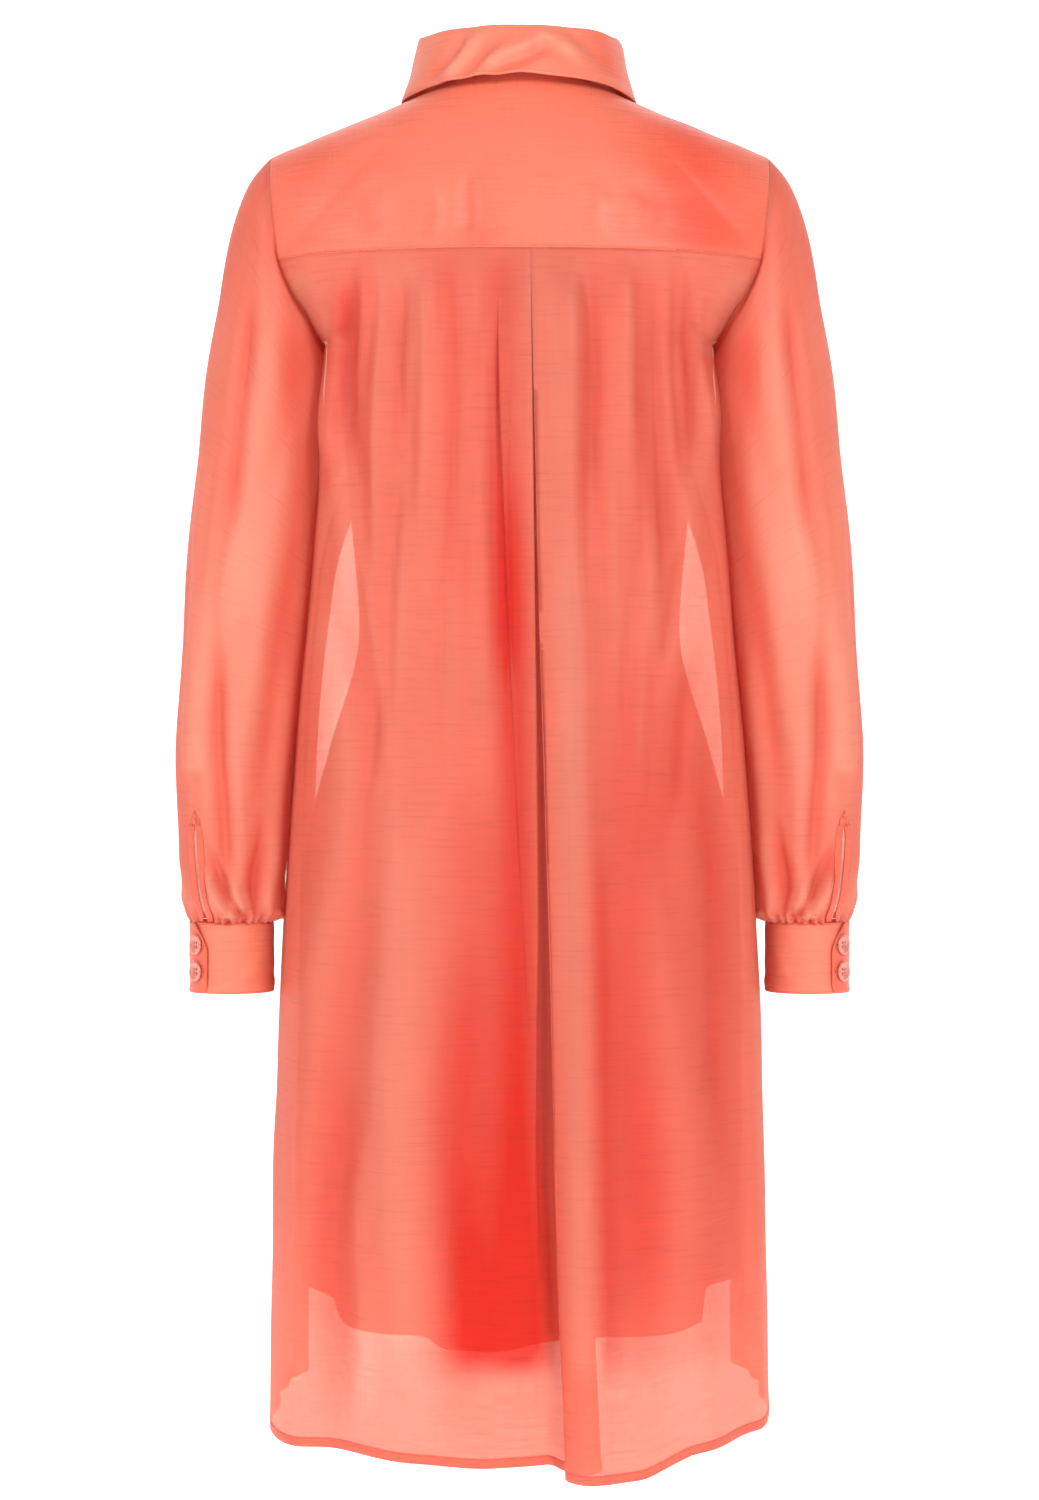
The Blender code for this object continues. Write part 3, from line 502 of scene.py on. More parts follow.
# ---- back panel ----
pleatSection = tableOf("topAcross topOut hemAcross hemOut", [
    (-60, 0, -90, 0), (-30, 0, -62, -4), (-0.3, 0, -40, -9), (-0.3, -1.6, -20, -15), (-24, -1.6, -4, -21),
    (-24, -3.2, 6, -26), (0, -3.2, 17, -29), (24, -3.2, 25, -26), (24, -1.6, 21, -18), (0.3, -1.6, 9, -9),
    (0.3, 0, -1, 0), (30, 0, 16, 14), (60, 0, 50, 5), (90, 0, 90, 0),
])
pleatDown = tableOf("z opened centreX", [
    (-1012, 1, -34), (-800, 0.62, -25), (-600, 0.3, -20), (-350, 0.1, -13), (-129, 0, -8),
], (1000, 1, 1000))
backPanel = {
    "rows": 200,
    "sideColumns": 44,
    "pleatSteps": 6,
    "flutes": 3.5,
    "fluteDepth": 0.007,
    "foldShading": 56,
    "unevenness": 0.0007,
    # painted shade where strength is above 0 (partly the deeper colour of the pleat's overlapping voile) and painted
    # light where it is below: x, z at each end, half width and strength at each end
    "shadeAndLightBands": inMetres([
        (6, -280, -6, -1000, 10, 24, 0.6, 1), (32, -520, 30, -1000, 18, 32, 0.25, 1),
        (12, -131, 8, -420, 12, 14, 0.38, 0.35), (118, -131, 112, -400, 9, 12, 0.2, 0.06),
        (52, -131, 46, -380, 10, 16, 0.2, 0.1), (-88, -131, -86, -360, 24, 26, 0.24, 0.1),
        (-14, -131, -14, -340, 10, 10, -0.25, -0.2), (-32, -330, -46, -1010, 12, 12, -0.5, -0.62),
        (-56, -560, -66, -1010, 7, 8, 0.25, 0.35), (-100, -480, -105, -1000, 50, 60, 0.16, 0.34),
        (128, -150, 141, -300, 6, 8, 0.4, 0.6), (168, -140, 142, -195, 12, 10, -0.6, -0.5),
        (-168, -140, -142, -195, 12, 10, -0.6, -0.5), (144, -200, 150, -420, 10, 10, -0.4, -0.25),
        (88, -131, 86, -300, 16, 14, -0.5, -0.2), (-102, -131, -104, -360, 12, 12, -0.22, -0.1),
        (-44, -190, -44, -430, 10, 12, 0.22, 0.15), (-88, -420, -98, -880, 50, 58, 0.4, 0.28),
        (90, -300, 84, -900, 16, 20, -0.2, -0.12), (66, -240, 60, -700, 12, 16, -0.16, -0.06),
    ], bandUnits),
    "folds": inMetres([
        (129, -130, 144, -290, 4.6, 3.6), (121, -131, 134, -300, 6, -4.4), (22, -420, 14, -1020, 30, -12),
        (-40, -450, -52, -1010, 12, 6), (127, -131, 122, -330, 10, -4.5), (89, -131, 84, -370, 10, -7.2),
        (67, -131, 62, -300, 8, 3.6), (46, -131, 40, -430, 11, -5.4), (17, -136, 10, -560, 9, -7.5),
        (-34, -131, -40, -640, 12, 5.4), (-52, -131, -58, -340, 8, -5.4), (-76, -134, -82, -300, 7, 3.3),
        (-99, -131, -106, -420, 12, -7.2), (-128, -133, -130, -330, 9, -4.5), (106, -131, 113, -250, 4, -2.6),
        (98, -132, 108, -420, 4.6, 3), (79, -131, 90, -520, 5, 3.4), (59, -131, 66, -360, 4.2, -3),
        (38, -131, 52, -560, 5, 3.6), (27, -131, 30, -300, 3.6, -2.8), (3, -160, 6, -520, 4.2, 2.8),
        (-24, -131, -26, -300, 4.2, 3), (-46, -131, -47, -420, 4.4, -3.4), (-63, -131, -70, -500, 4.4, 3),
        (-86, -131, -88, -300, 3.6, -2.6), (-92, -150, -102, -480, 4.4, 3), (-112, -131, -120, -300, 4, -2.8),
        (-130, -150, -142, -280, 4.4, 3), (115, -330, 92, -520, 4.6, 2.8), (100, -420, 118, -600, 5, -2.8),
        (-100, -300, -80, -560, 4.6, 2.6), (-124, -330, -98, -450, 4, -2.2), (150, -190, 112, -440, 11, 4.5),
        (-148, -195, -118, -380, 10, 4.2), (-132, -400, -108, -560, 8, -3.3), (128, -380, 108, -520, 8, -3),
        (120, -420, 152, -780, 15, 6), (90, -500, 86, -960, 17, 8.3), (46, -620, 44, -1000, 15, -6),
        (-100, -560, -122, -990, 16, 7.5), (-140, -480, -152, -850, 13, -5.1), (134, -700, 138, -1005, 14, -5.4),
        (112, -760, 112, -1005, 10, 4.5),
    ]),
}


def backRow(z, sideCount, steps):
    opened = float(readTable(pleatDown, "opened", z))
    centreX = float(readTable(pleatDown, "centreX", z))
    edge = float(armholePoint(armholeAngle(z))[0]) if z > cut["underarmZ"] else float(readTable(body, "half", z))
    down = downShare(z)
    last = len(pleatSection["topAcross"]) - 1
    at = np.linspace(0, last, last * steps + 1)

    def blend(kind):
        corners = pleatSection["top" + kind] + (pleatSection["hem" + kind] - pleatSection["top" + kind]) * opened
        soft = min(1.0, 0.15 + 1.6 * opened)
        return np.interp(at, np.arange(last + 1), corners) * (1 - soft) + splineAt(corners, at) * soft

    def side(start, sign):
        turnStart = math.asin(abs(start) / edge)
        xs = np.concatenate([[start], sign * edge * np.sin(np.linspace(turnStart, math.pi / 2, 120))[1:]])
        line = np.stack([xs, backDepth(xs, z) + cut["seam"] / 2, np.full(len(xs), z)], axis=1)
        points = evenly(line, sideCount + 1)[1:]
        share = np.linspace(0, 1, sideCount + 1)[1:]
        flutes = np.sin(backPanel["flutes"] * math.pi * share + 0.4) * np.sin(math.pi * share)
        points[:, 1] += backPanel["fluteDepth"] * down * flutes
        return points

    across = centreX - blend("Across")
    pleat = np.stack([across, backDepth(across, z) + blend("Out"), np.full(len(across), z)], axis=1)
    return np.concatenate([side(across[0], 1)[::-1], pleat, side(across[-1], -1)])


def buildBack():
    rows, sides, steps = dense(backPanel["rows"]), dense(backPanel["sideColumns"]), dense(backPanel["pleatSteps"])
    heights = np.linspace(cut["yokeSeamZ"] + 0.0012, cut["hemZ"], rows)
    grid = np.array([backRow(z, sides, steps) for z in heights])
    grid = unevenHem(grid, readTable(backHem, "rise", grid[..., 0]))
    normals = gridNormals(grid, (0, -0.05, 0))
    inner = np.ones(grid.shape[1])
    inner[sides + steps * 2 : -(sides + steps * 3)] = 0.15  # the pleat's own folds stay crisp
    smooth = np.convolve(np.pad(inner, 5, mode="edge"), np.ones(11) / 11, mode="valid")
    edge = np.minimum(np.arange(rows) / (rows * 0.03), 1)[:, None]
    moved = strokeField(grid, backPanel["folds"]) * smooth * edge
    moved = moved + ripple(grid.shape[:2], 11, backPanel["unevenness"], 5) * smooth * edge
    # the painted shade and light fade out below the slip's hem, where the slip behind the cloth ends
    tone = bandField(grid, backPanel["shadeAndLightBands"]) * (0.12 + 0.88 * smoothStep((grid[..., 2] + 0.950) / 0.030))
    # painted shade in the valleys of the folds and painted light on their crests
    tone = tone - backPanel["foldShading"] * np.clip(strokeField(grid, backPanel["folds"][4:]), -0.007, 0.007) * smooth
    return grid + normals * moved[..., None], np.clip(tone, -0.6, 1.0)


origin, middle = (0, 0, 0), (0, -0.05, 0)
backGrid, backTone = buildBack()
addCloth("back", "backPanel", "back", "voile", backGrid, middle, tone=backTone)
for edge, depth in (("bottom", cut["hemDepth"]), ("first", cut["seamAllowance"]), ("last", cut["seamAllowance"])):
    addTurning("back", "back" + edge.title() + "Turning", backGrid, edge, depth, middle)
print("back panel made")

# ---- yoke ----
neckLine = tableOf("angle z standHeight", [
    (0, 7.8, 26.4), (45, 3.5, 32.1), (70, 0.8, 35.6), (90, 0.5, 40), (115, -22, 37), (140, -55, 30),
], (1, 1000, 1000))
neckSize = {"halfWidth": 0.075, "backDepth": 0.066, "frontDepth": 0.105, "end": 140, "yokeFront": 100, "bandTop": 126}
yoke = {
    "cornerAngle": 102.5,
    "frontAngle": 25,
    "rows": 60,
    "ridgeZ": 0.032,
    "ridgeFall": 0.404,
    "frontDepth": 0.092,
    "tone": 0.30,
    "foldShading": 45,
    "unevenness": 0.0003,
    # painted shade where strength is above 0 and painted light where it is below, darkest on the side at negative x:
    # x, z at each end, half width and strength at each end
    "shadeAndLightBands": inMetres([
        (-130, -130, -126, -10, 46, 38, 0.62, 0.36), (140, -130, 150, -30, 50, 40, 0.22, 0.16),
        (28, -130, 30, -70, 16, 12, 0.25, 0.05),
    ], bandUnits),
    "folds": inMetres([
        (64, -124, 60, -85, 5, -1.6), (36, -124, 34, -70, 5, -2), (52, -120, 46, -60, 6, 1.2),
        (-60, -124, -56, -80, 6, 1.4), (-96, -122, -90, -70, 8, -1.4), (110, -118, 104, -70, 8, -1.4),
        (150, -70, 90, -30, 8, 1.4), (-140, -80, -100, -50, 8, 1), (18, 4, 17, -10, 1.4, -1),
        (1, 6, 2, -9, 1.2, -0.9), (-12, 5, -13, -7, 1.2, -0.6), (34, 2, 32, -12, 1.4, -0.7),
    ]),
}


def neckPoint(angle, growSide=1.0, growBack=1.0, lift=0.0):
    angle = np.asarray(angle, float)
    turn = np.radians(np.abs(angle))
    depth = np.where(np.abs(angle) < 90, neckSize["backDepth"], neckSize["frontDepth"])
    grow = growBack + (growSide - growBack) * np.sin(turn) ** 2
    x = np.sign(angle) * neckSize["halfWidth"] * np.sin(turn) * grow
    return np.stack([x, depth * np.cos(turn) * grow, readTable(neckLine, "z", np.abs(angle)) + lift], axis=-1)


def shoulderPoint(x, turn):
    depth = backDepth(x, cut["yokeSeamZ"]) if turn > 0 else yoke["frontDepth"]
    height = yoke["ridgeZ"] - yoke["ridgeFall"] * abs(x) - cut["yokeSeamZ"]
    turn = math.radians(turn)
    return np.array([x, depth * math.sin(turn), cut["yokeSeamZ"] + height * math.cos(turn)])


def yokeRay(neckAngle, outer, outerTurn, count):
    start = neckPoint(neckAngle)
    depth = backDepth(start[0], cut["yokeSeamZ"]) if start[1] > 0 else yoke["frontDepth"]
    startTurn = math.degrees(math.asin(start[1] / depth))
    missStart = start - shoulderPoint(start[0], startTurn)
    missEnd = outer - shoulderPoint(outer[0], outerTurn)
    points = []
    for share in np.linspace(0, 1, count):
        form = shoulderPoint(start[0] + (outer[0] - start[0]) * share, startTurn + (outerTurn - startTurn) * share)
        points.append(form + missStart * (1 - share) + missEnd * share)
    return np.array(points)


def yokeOuter(seamCount, armCount):
    corner = armholePoint(yoke["cornerAngle"])
    xs = np.linspace(0, corner[0], 90)
    seam = np.stack([xs, backDepth(xs, cut["yokeSeamZ"]), np.full(90, cut["yokeSeamZ"])], axis=1)
    found = [(point, 90.0) for point in evenly(seam, seamCount)]
    for angle in np.linspace(yoke["cornerAngle"], -yoke["frontAngle"], armCount + 1)[1:]:
        found.append((armholePoint(angle), 90.0 * angle / yoke["cornerAngle"]))
    return found


def buildYoke():
    seamCount, armCount = dense(40) + 1, dense(46)
    outer = yokeOuter(seamCount, armCount)
    angles = np.linspace(0, neckSize["yokeFront"], len(outer))
    rows = dense(yoke["rows"])
    half = [yokeRay(angle, *edge, rows) for angle, edge in zip(angles, outer)]
    grid = np.array([ray * (-1, 1, 1) for ray in half[:0:-1]] + half).transpose(1, 0, 2)
    fade = np.minimum(np.arange(rows) / (rows * 0.2), 1) * np.minimum(np.arange(rows)[::-1] / (rows * 0.1), 1)
    return creased(grid, (0, -0.02, 0), yoke["folds"], 23, yoke["unevenness"], fade[:, None])


yokeGrid = buildYoke()
yokeUv = yokeGrid[..., [0, 2]] * (1, -1)
# the doubled cloth's even deeper colour, with painted shade in fold valleys, painted light on fold crests, and the
# painted bands
yokeTone = yoke["tone"] - yoke["foldShading"] * strokeField(yokeGrid, yoke["folds"]) + bandField(yokeGrid, yoke["shadeAndLightBands"])
addCloth("yoke", "yokePanel", "yoke", "doubledVoile", yokeGrid, middle, uv=yokeUv, tone=yokeTone)
print("yoke made")

# ---- open fronts and their bands ----
frontEdge = tableOf("z x y", [
    (-1012, 176.6, -198), (-750, 174, -188), (-600, 171, -180), (-481, 167, -170), (-402, 159, -165),
    (-331, 148, -160), (-270, 124, -148), (-200, 93, -130), (-120, 66, -106), (-55, 48.2, -81),
])
fronts = {
    "rows": 190,
    "columns": 62,
    "bandColumns": 9,
    "waves": 0.0025,
    "unevenness": 0.0016,
    "topRows": [(25, 100), (48, 112), (70, 126)],  # armhole angle, neck angle
    "middleRows": [(92, -0.085), (112, -0.112), (132, -0.142), (154, -0.170)],  # armhole angle, edge height
    "lowerRows": 17,
}


def frontLine(outer, inner, bulge, down, count):
    share = np.linspace(0, 1, count)[:, None]
    run = inner - outer
    away = np.array([-run[1], run[0], 0])
    away *= 1 if away @ (outer + inner) > 0 else -1
    away /= np.linalg.norm(away) + 1e-9
    waves = fronts["waves"] * down * np.sin(5 * math.pi * share + 0.6)
    return outer + run * share + away * np.sin(math.pi * share**1.4) * (bulge + waves)


def frontRows(count):
    panel, band = [], []
    drop = np.array([0, -cut["seam"], -cut["seam"]]) * 1.5
    for number, (armAngle, neckAngle) in enumerate(fronts["topRows"]):
        outer, inner = armholePoint(-armAngle), neckPoint(neckAngle)
        if number == 0:
            line = yokeRay(neckAngle, outer, -90.0 * armAngle / yoke["cornerAngle"], 60)[::-1] + drop
        else:
            line = frontLine(outer, inner, 0.006 * number, 0, 90)
        panel.append(evenly(line, count))
    bandTop, end = neckSize["bandTop"], neckSize["end"]
    band.append(evenly([neckPoint(bandTop + 0.6), neckPoint((bandTop + end) / 2), neckPoint(end)], 3))
    lower = np.linspace(cut["underarmZ"], cut["hemZ"], fronts["lowerRows"])
    rows = [(armholePoint(-angle), z) for angle, z in fronts["middleRows"]]
    rows += [(np.array([float(readTable(body, "half", z)), 0, z]), z) for z in lower]
    for outer, z in rows:
        inner = np.array([float(readTable(frontEdge, "x", z)), float(readTable(frontEdge, "y", z)), z])
        line = frontLine(outer, inner, float(readTable(body, "frontBulge", z)), downShare(z), 160)
        length = runLength(line)[-1]
        split = (length - cut["bandWidth"]) / length
        panel.append(along(line, np.linspace(0, split + 0.002 / length, count)))
        band.append(along(line, np.linspace(split, 1, 3)))
    return np.array(panel), np.array(band)


def buildFronts():
    panel, band = frontRows(dense(fronts["columns"]))
    rows = dense(fronts["rows"])
    panel = splineRows(panel, rows)
    band = refined(band, rows, dense(fronts["bandColumns"]))
    normals = gridNormals(panel, (0, -0.03, 0))
    hold = heldEnds(np.linspace(0, 1, panel.shape[1]), 0.06)[None, :]
    hold = hold * np.minimum(np.arange(rows) / (rows * 0.05), 1)[:, None]
    panel = panel + normals * (ripple(panel.shape[:2], 31, fronts["unevenness"], 4) * hold)[..., None]
    return panel, band


def hemOfFront(grid, side):
    atSeam, atEdge = frontHem[side]
    share = np.clip(grid[..., 1] / frontEdge["y"].min(), 0, 1)
    return unevenHem(grid, atSeam + (atEdge - atSeam) * share)


frontGrid, bandGrid = buildFronts()
frontMiddle = (0, -0.03, 0)
panels = {}
for side, sign in bothSides:
    name = side.lower()
    grid, band = (onSide(hemOfFront(half, side), sign) for half in (frontGrid, bandGrid))
    panels["front" + side], panels["band" + side] = grid, band
    addCloth("front" + side, "front" + side + "Panel", "front_" + name, "voile", grid, frontMiddle)
    addCloth("band" + side, "band" + side + "Strip", "band_" + name, "doubledVoile", band, frontMiddle)
    seam = "first" if side == "Left" else "last"
    for edge, depth in (("bottom", cut["hemDepth"]), (seam, cut["seamAllowance"])):
        addTurning("front" + side, "front" + side + edge.title() + "Turning", grid, edge, depth, frontMiddle)
print("fronts made")

# ---- collar ----
fallSection = tableOf("place growSide growBack liftSide liftBack", [
    (0, 0.945, 0.915, 0.6, 0.6), (0.08, 0.95, 0.925, 5.2, 5.2), (0.16, 0.985, 0.965, 6.6, 6.6),
    (0.26, 1.02, 1.01, 3, 3), (0.62, 1.09, 1.13, -18, -16.5), (1, 1.18, 1.24, -3, -5.6),
], (1, 1, 1, 1000, 1000))
collar = {
    "columns": 170,
    "standRows": 16,
    "fallRows": 46,
    "standLean": 0.94,
    "standLift": 0.0001,
    "folds": inMetres([
        (66, 2, 34, 42, 5, -3), (58, 0, 20, 42, 4.5, 3), (44, 2, 4, 40, 4, -2.2), (30, 6, -20, 36, 4, 3),
        (22, 0, -34, 30, 4.5, -2.4), (-10, 40, -50, 14, 5, 2), (-30, 42, -68, 12, 5, -1.8),
    ]),
    # painted shade in broad bands: x, z at each end, half width and strength at each end
    "shadeAndLightBands": inMetres([
        (-72, 5, -60, 45, 18, 16, 0.5, 0.32), (60, 0, 62, 30, 8, 6, 0.25, 0.1),
    ], bandUnits),
    "point": (0.018, -0.026, -0.018),
    "wall": 0.0013,
    "foldShading": -90,
    "unevenness": 0.0010,
}


def standPoint(angle, share):
    height = readTable(neckLine, "standHeight", np.abs(angle)) - collar["standLift"] + 0.0006
    grow = 1 + (collar["standLean"] - 1) * share
    return neckPoint(angle, grow, grow * (1 - 0.03 * share), collar["standLift"] + height * share)


def fallPoint(angle, placeDown):
    tallStand = readTable(neckLine, "standHeight", np.abs(angle))
    rows = []
    for row in range(len(fallSection["place"])):
        last = row == len(fallSection["place"]) - 1
        base = 0 if last else tallStand
        toSide = np.sin(np.radians(angle)) ** 2
        lift = fallSection["liftBack"][row] * (1 - toSide) + fallSection["liftSide"][row] * toSide
        point = neckPoint(angle, fallSection["growSide"][row], fallSection["growBack"][row], base + lift)
        ending = np.clip((np.abs(angle) - 95) / (neckSize["end"] - 95), 0, 1) ** 1.5
        reach = ending * fallSection["place"][row] ** 1.3
        shift = np.stack([np.sign(angle), np.ones(len(angle)), np.ones(len(angle))], axis=-1) * collar["point"]
        rows.append(point + shift * reach[:, None])
    return splineRows(np.array(rows), placeDown)


def buildCollar():
    angles = np.linspace(neckSize["end"], -neckSize["end"], dense(collar["columns"]))
    angles = np.where(np.abs(angles) < 1e-6, 1e-6, angles)
    stand = np.array([standPoint(angles, share) for share in np.linspace(1, 0, dense(collar["standRows"]))])
    fall = fallPoint(angles, dense(collar["fallRows"]))
    fade = np.clip((np.linspace(0, 1, len(fall)) - 0.25) / 0.3, 0, 1)
    return stand, creased(fall, origin, collar["folds"], 5, collar["unevenness"], fade[:, None])


standGrid, fallGrid = buildCollar()
addCloth("collarStand", "collarStand", "collar_stand", "doubledVoile", standGrid, origin, collar["wall"])
# painted shade in the fold valleys and painted light on their crests, then the painted shade bands
fallTone = np.clip(collar["foldShading"] * strokeField(fallGrid, collar["folds"]), -0.3, 0.6)
fallTone = fallTone + bandField(fallGrid, collar["shadeAndLightBands"])
addCloth("collarFall", "collarFall", "collar_fall", "doubledVoile", fallGrid, origin, collar["wall"], tone=fallTone)
print("collar made")

# ---- sleeves, bindings and cuffs ----
sleeveOutline = tableOf("place outerX outerZ innerX innerZ depth", [
    (0, 189.4, -43.2, 147.4, -185, 52), (1, 205.2, -64, 148.8, -198, 55), (2, 216.2, -94, 150.6, -216, 56),
    (3, 224.2, -127.2, 151.9, -238, 56), (4, 229.9, -157.6, 153.6, -262, 55.5), (5, 234.5, -190, 155.4, -286, 55),
    (6, 239, -226, 157.4, -312, 54.5), (7, 243.2, -265, 159.5, -338, 54), (8, 247.5, -306, 161.7, -366, 53.5),
    (9, 251.2, -348, 163.9, -393, 53.5), (10, 255, -393, 166.4, -422, 53), (11, 258.4, -440, 169.7, -456, 53),
    (12, 260.7, -492, 173.4, -496, 52.5), (13, 260, -530, 175.9, -531, 51.5), (14, 258, -570, 178.6, -570, 49),
    (15, 254, -600, 180.9, -600, 45), (16, 249.5, -615.2, 182.7, -615.2, 38.5), (17, 247.5, -621, 185.5, -621, 33.5),
], (1,) + (1000,) * 5)
# how much closer than the solid the thin cloth hangs to the body, by row
sleeveSnug = tableOf("place closer", [
    (0, 0), (2, 1.8), (4, 2.6), (9, 2.8), (12, 2.4), (14, 2.2), (15, 2.6), (16, 3.4), (17, 1.2),
], (1, 1000))
sleeve = {
    "end": 17,
    "rows": 160,
    "columns": 270,
    "slitAngle": 55,
    "slitTopZ": -0.547,
    "slitOpening": 0.0034,
    "slitFlare": 0.0040,
    "angleSize": 0.045 * math.pi / 180,
    "bindingWidth": 0.006,
    "bindingWall": 0.0004,
    "bindingShift": 0.0006,
    "bindingTone": 0.55,
    # gathers over the cuff: angle, half width, depth, how far they rise, and lean in degrees over that rise
    "gathers": inMetres([
        (4, 5, -7.8, 54, 4), (24, 4, -7, 40, -3), (40, 4.5, -5.9, 36, 5), (66, 4, -8.2, 48, -6),
        (76, 3.4, -9, 33, -2), (87, 4.2, -10.1, 61, -9), (98, 3.2, -7.8, 29, 2), (107, 4.6, -10.9, 73, 9),
        (119, 3.4, -9, 36, 4), (130, 4.8, -10.5, 54, -8), (143, 4, -9.4, 40, 6), (156, 4.6, -9.7, 29, 8),
        (176, 5, -3.9, 25, 0), (203, 4.6, -8.6, 48, -5), (219, 4, -9.4, 36, 4), (233, 4.6, -9.7, 61, -6),
        (247, 3.8, -8.6, 36, 3), (262, 4.6, -9.7, 54, 5), (277, 4, -8.2, 33, -4), (292, 4.6, -9, 51, 4),
        (308, 4.2, -7.8, 36, -3), (326, 4.8, -8.2, 54, 5), (344, 4.4, -7.4, 40, -4),
    ], (1, 1, 1000, 1000, 1)),
    # painted shade where strength is above 0 and painted light where it is below: angle, first and last row, half
    # width in degrees, strength
    "shadeAndLightBands": [
        (165, 9, 15.5, 22, 0.3), (62, 15, 20, 8, 0.95), (170, 1, 8, 22, -0.4), (18, 1, 17, 16, 0.1),
        (55, 3, 14, 26, -0.24), (92, 7, 16.5, 26, -0.24), (120, 1, 6, 16, 0.2),
    ],
    "puff": 0.0036,
    "puffRise": 0.013,
    "puffWidth": 0.012,
    "unevenness": 0.0009,
    "slitShadeStrength": 0.85,
    "foldShading": 130,
    # long folds: angle and row at each end, half width in degrees, height
    "folds": inMetres([
        (96, 1, 76, 12, 15, 6.1), (66, 2, 84, 9, 12, -4.3), (128, 3, 100, 14, 14, 6.7), (40, 6, 60, 14, 13, 4.3),
        (150, 9, 140, 16, 12, 4.9), (72, 9.5, 92, 15.6, 8, -4.9), (60, 14, 98, 16.9, 6, 6.7),
        (66, 13.6, 110, 16.6, 6, -4.6), (128, 13, 118, 16.8, 8, -5.2), (150, 15.6, 176, 16.8, 8, 6.4),
        (262, 1, 284, 11, 15, 5.8), (236, 4, 205, 15, 14, 6.1), (300, 6, 322, 16, 14, 5.2),
        (325, 2, 312, 9, 12, -4.3), (250, 12, 262, 16.6, 8, -5.2),
    ], (1,) * 5 + (1000,)),
}
cuff = {
    "topZ": -0.6216,
    "height": 0.053,
    "centreX": 0.2180,
    "halfWidth": 0.0308,
    "halfDepth": 0.0340,
    "edgeAngle": 60,
    "overlap": 50,
    "rows": 26,
    "columns": 190,
    "wall": 0.0013,
    "cornerRadius": 0.006,
    "buttonAngle": 42,
    "lead": 26,  # degrees that the overlap's upper corner is pulled round
    "leadDrop": 0.022,
    "leadRun": 70,
    "lapOut": 0.0012,
    "lapShade": 0.42,
    "edgeShadow": 0.55,
    "angleSize": 0.0325 * math.pi / 180,
    "unevenness": 0.0005,
    "folds": inMetres([
        (236, -633, 196, -628, 3, -0.9), (190, -640, 205, -668, 5, 0.8),
    ]),
    "buttonDrops": (0.0165, 0.0365),
}


def sleeveRelief(placeDown, angle, height):
    # height is how far over the cuff the point is
    above = np.maximum(height, 0)
    moved = sleeve["puff"] * bell(above - sleeve["puffRise"], sleeve["puffWidth"])
    for middle, width, depth, rise, lean in sleeve["gathers"]:
        fade = np.clip(1 - above / rise, 0, 1) ** 1.3
        away = signedAngle(angle - (middle + lean * above / rise)) / (width * (1 + above / 0.016))
        moved = moved + depth * fade * (bell(away, 1) - 0.45 * bell(away, 2))
    for number, (a0, p0, a1, p1, width, size) in enumerate(sleeve["folds"]):
        share = (placeDown - p0) / (p1 - p0)
        middle = a0 + (a1 - a0) * share + 2.5 * np.sin(4 * share + number)
        away = signedAngle(angle - middle)
        fade = smoothStep(share / 0.3) * smoothStep((1 - share) / 0.3)
        moved = moved + size * fade * (bell(away, width) - 0.3 * bell(away - 2 * width, width))
    inside = bell(signedAngle(angle - 180), 34)
    return moved * (1 - 0.92 * inside * np.clip((16.4 - placeDown) / 0.8, 0, 1)) * (1 - 0.4 * inside)


def sleevePoint(placeDown, angle):
    placeDown, angle = np.broadcast_arrays(np.asarray(placeDown, float), np.asarray(angle, float))
    columns = ("outerX", "outerZ", "innerX", "innerZ")
    outerX, outerZ, innerX, innerZ = (readTable(sleeveOutline, column, placeDown) for column in columns)
    innerX = innerX - readTable(sleeveSnug, "closer", placeDown)
    turn = np.radians(angle)
    x = (outerX + innerX) / 2 + (outerX - innerX) / 2 * np.cos(turn)
    z = (outerZ + innerZ) / 2 + (outerZ - innerZ) / 2 * np.cos(turn)
    y = readTable(sleeveOutline, "depth", placeDown) * np.sin(turn)
    atSeam = np.clip(1 - placeDown / 2.5, 0, 1) ** 2
    signed = signedAngle(angle)
    tip, pit = armholePoint(0.001)[0], armholePoint(180)[0]
    x = x + (armholePoint(signed)[..., 0] - ((tip + pit) / 2 + (tip - pit) / 2 * np.cos(turn))) * atSeam
    point = np.stack([x, y, z], axis=-1)
    sewn = np.clip(1 - placeDown / 0.6, 0, 1)[..., None] ** 2  # the first rows close on the armhole seam
    return point + (armholePoint(signed) - point) * sewn


def slitPlace():
    heights = (sleeveOutline["outerZ"] + sleeveOutline["innerZ"]) / 2
    return float(np.interp(-sleeve["slitTopZ"], -heights, sleeveOutline["place"]))


def slitEdges(placeDown):  # how far each edge stands off the slit's line, in degrees: front, then back
    share = np.clip((placeDown - slitPlace()) / (sleeve["end"] - slitPlace()), 0, 1)
    opened = np.where(share > 0, sleeve["slitOpening"] / 2 * np.minimum(share / 0.06, 1), 0) / sleeve["angleSize"]
    flare = sleeve["slitFlare"] * smoothStep((share - 0.55) / 0.45) / sleeve["angleSize"]
    return opened + flare, opened


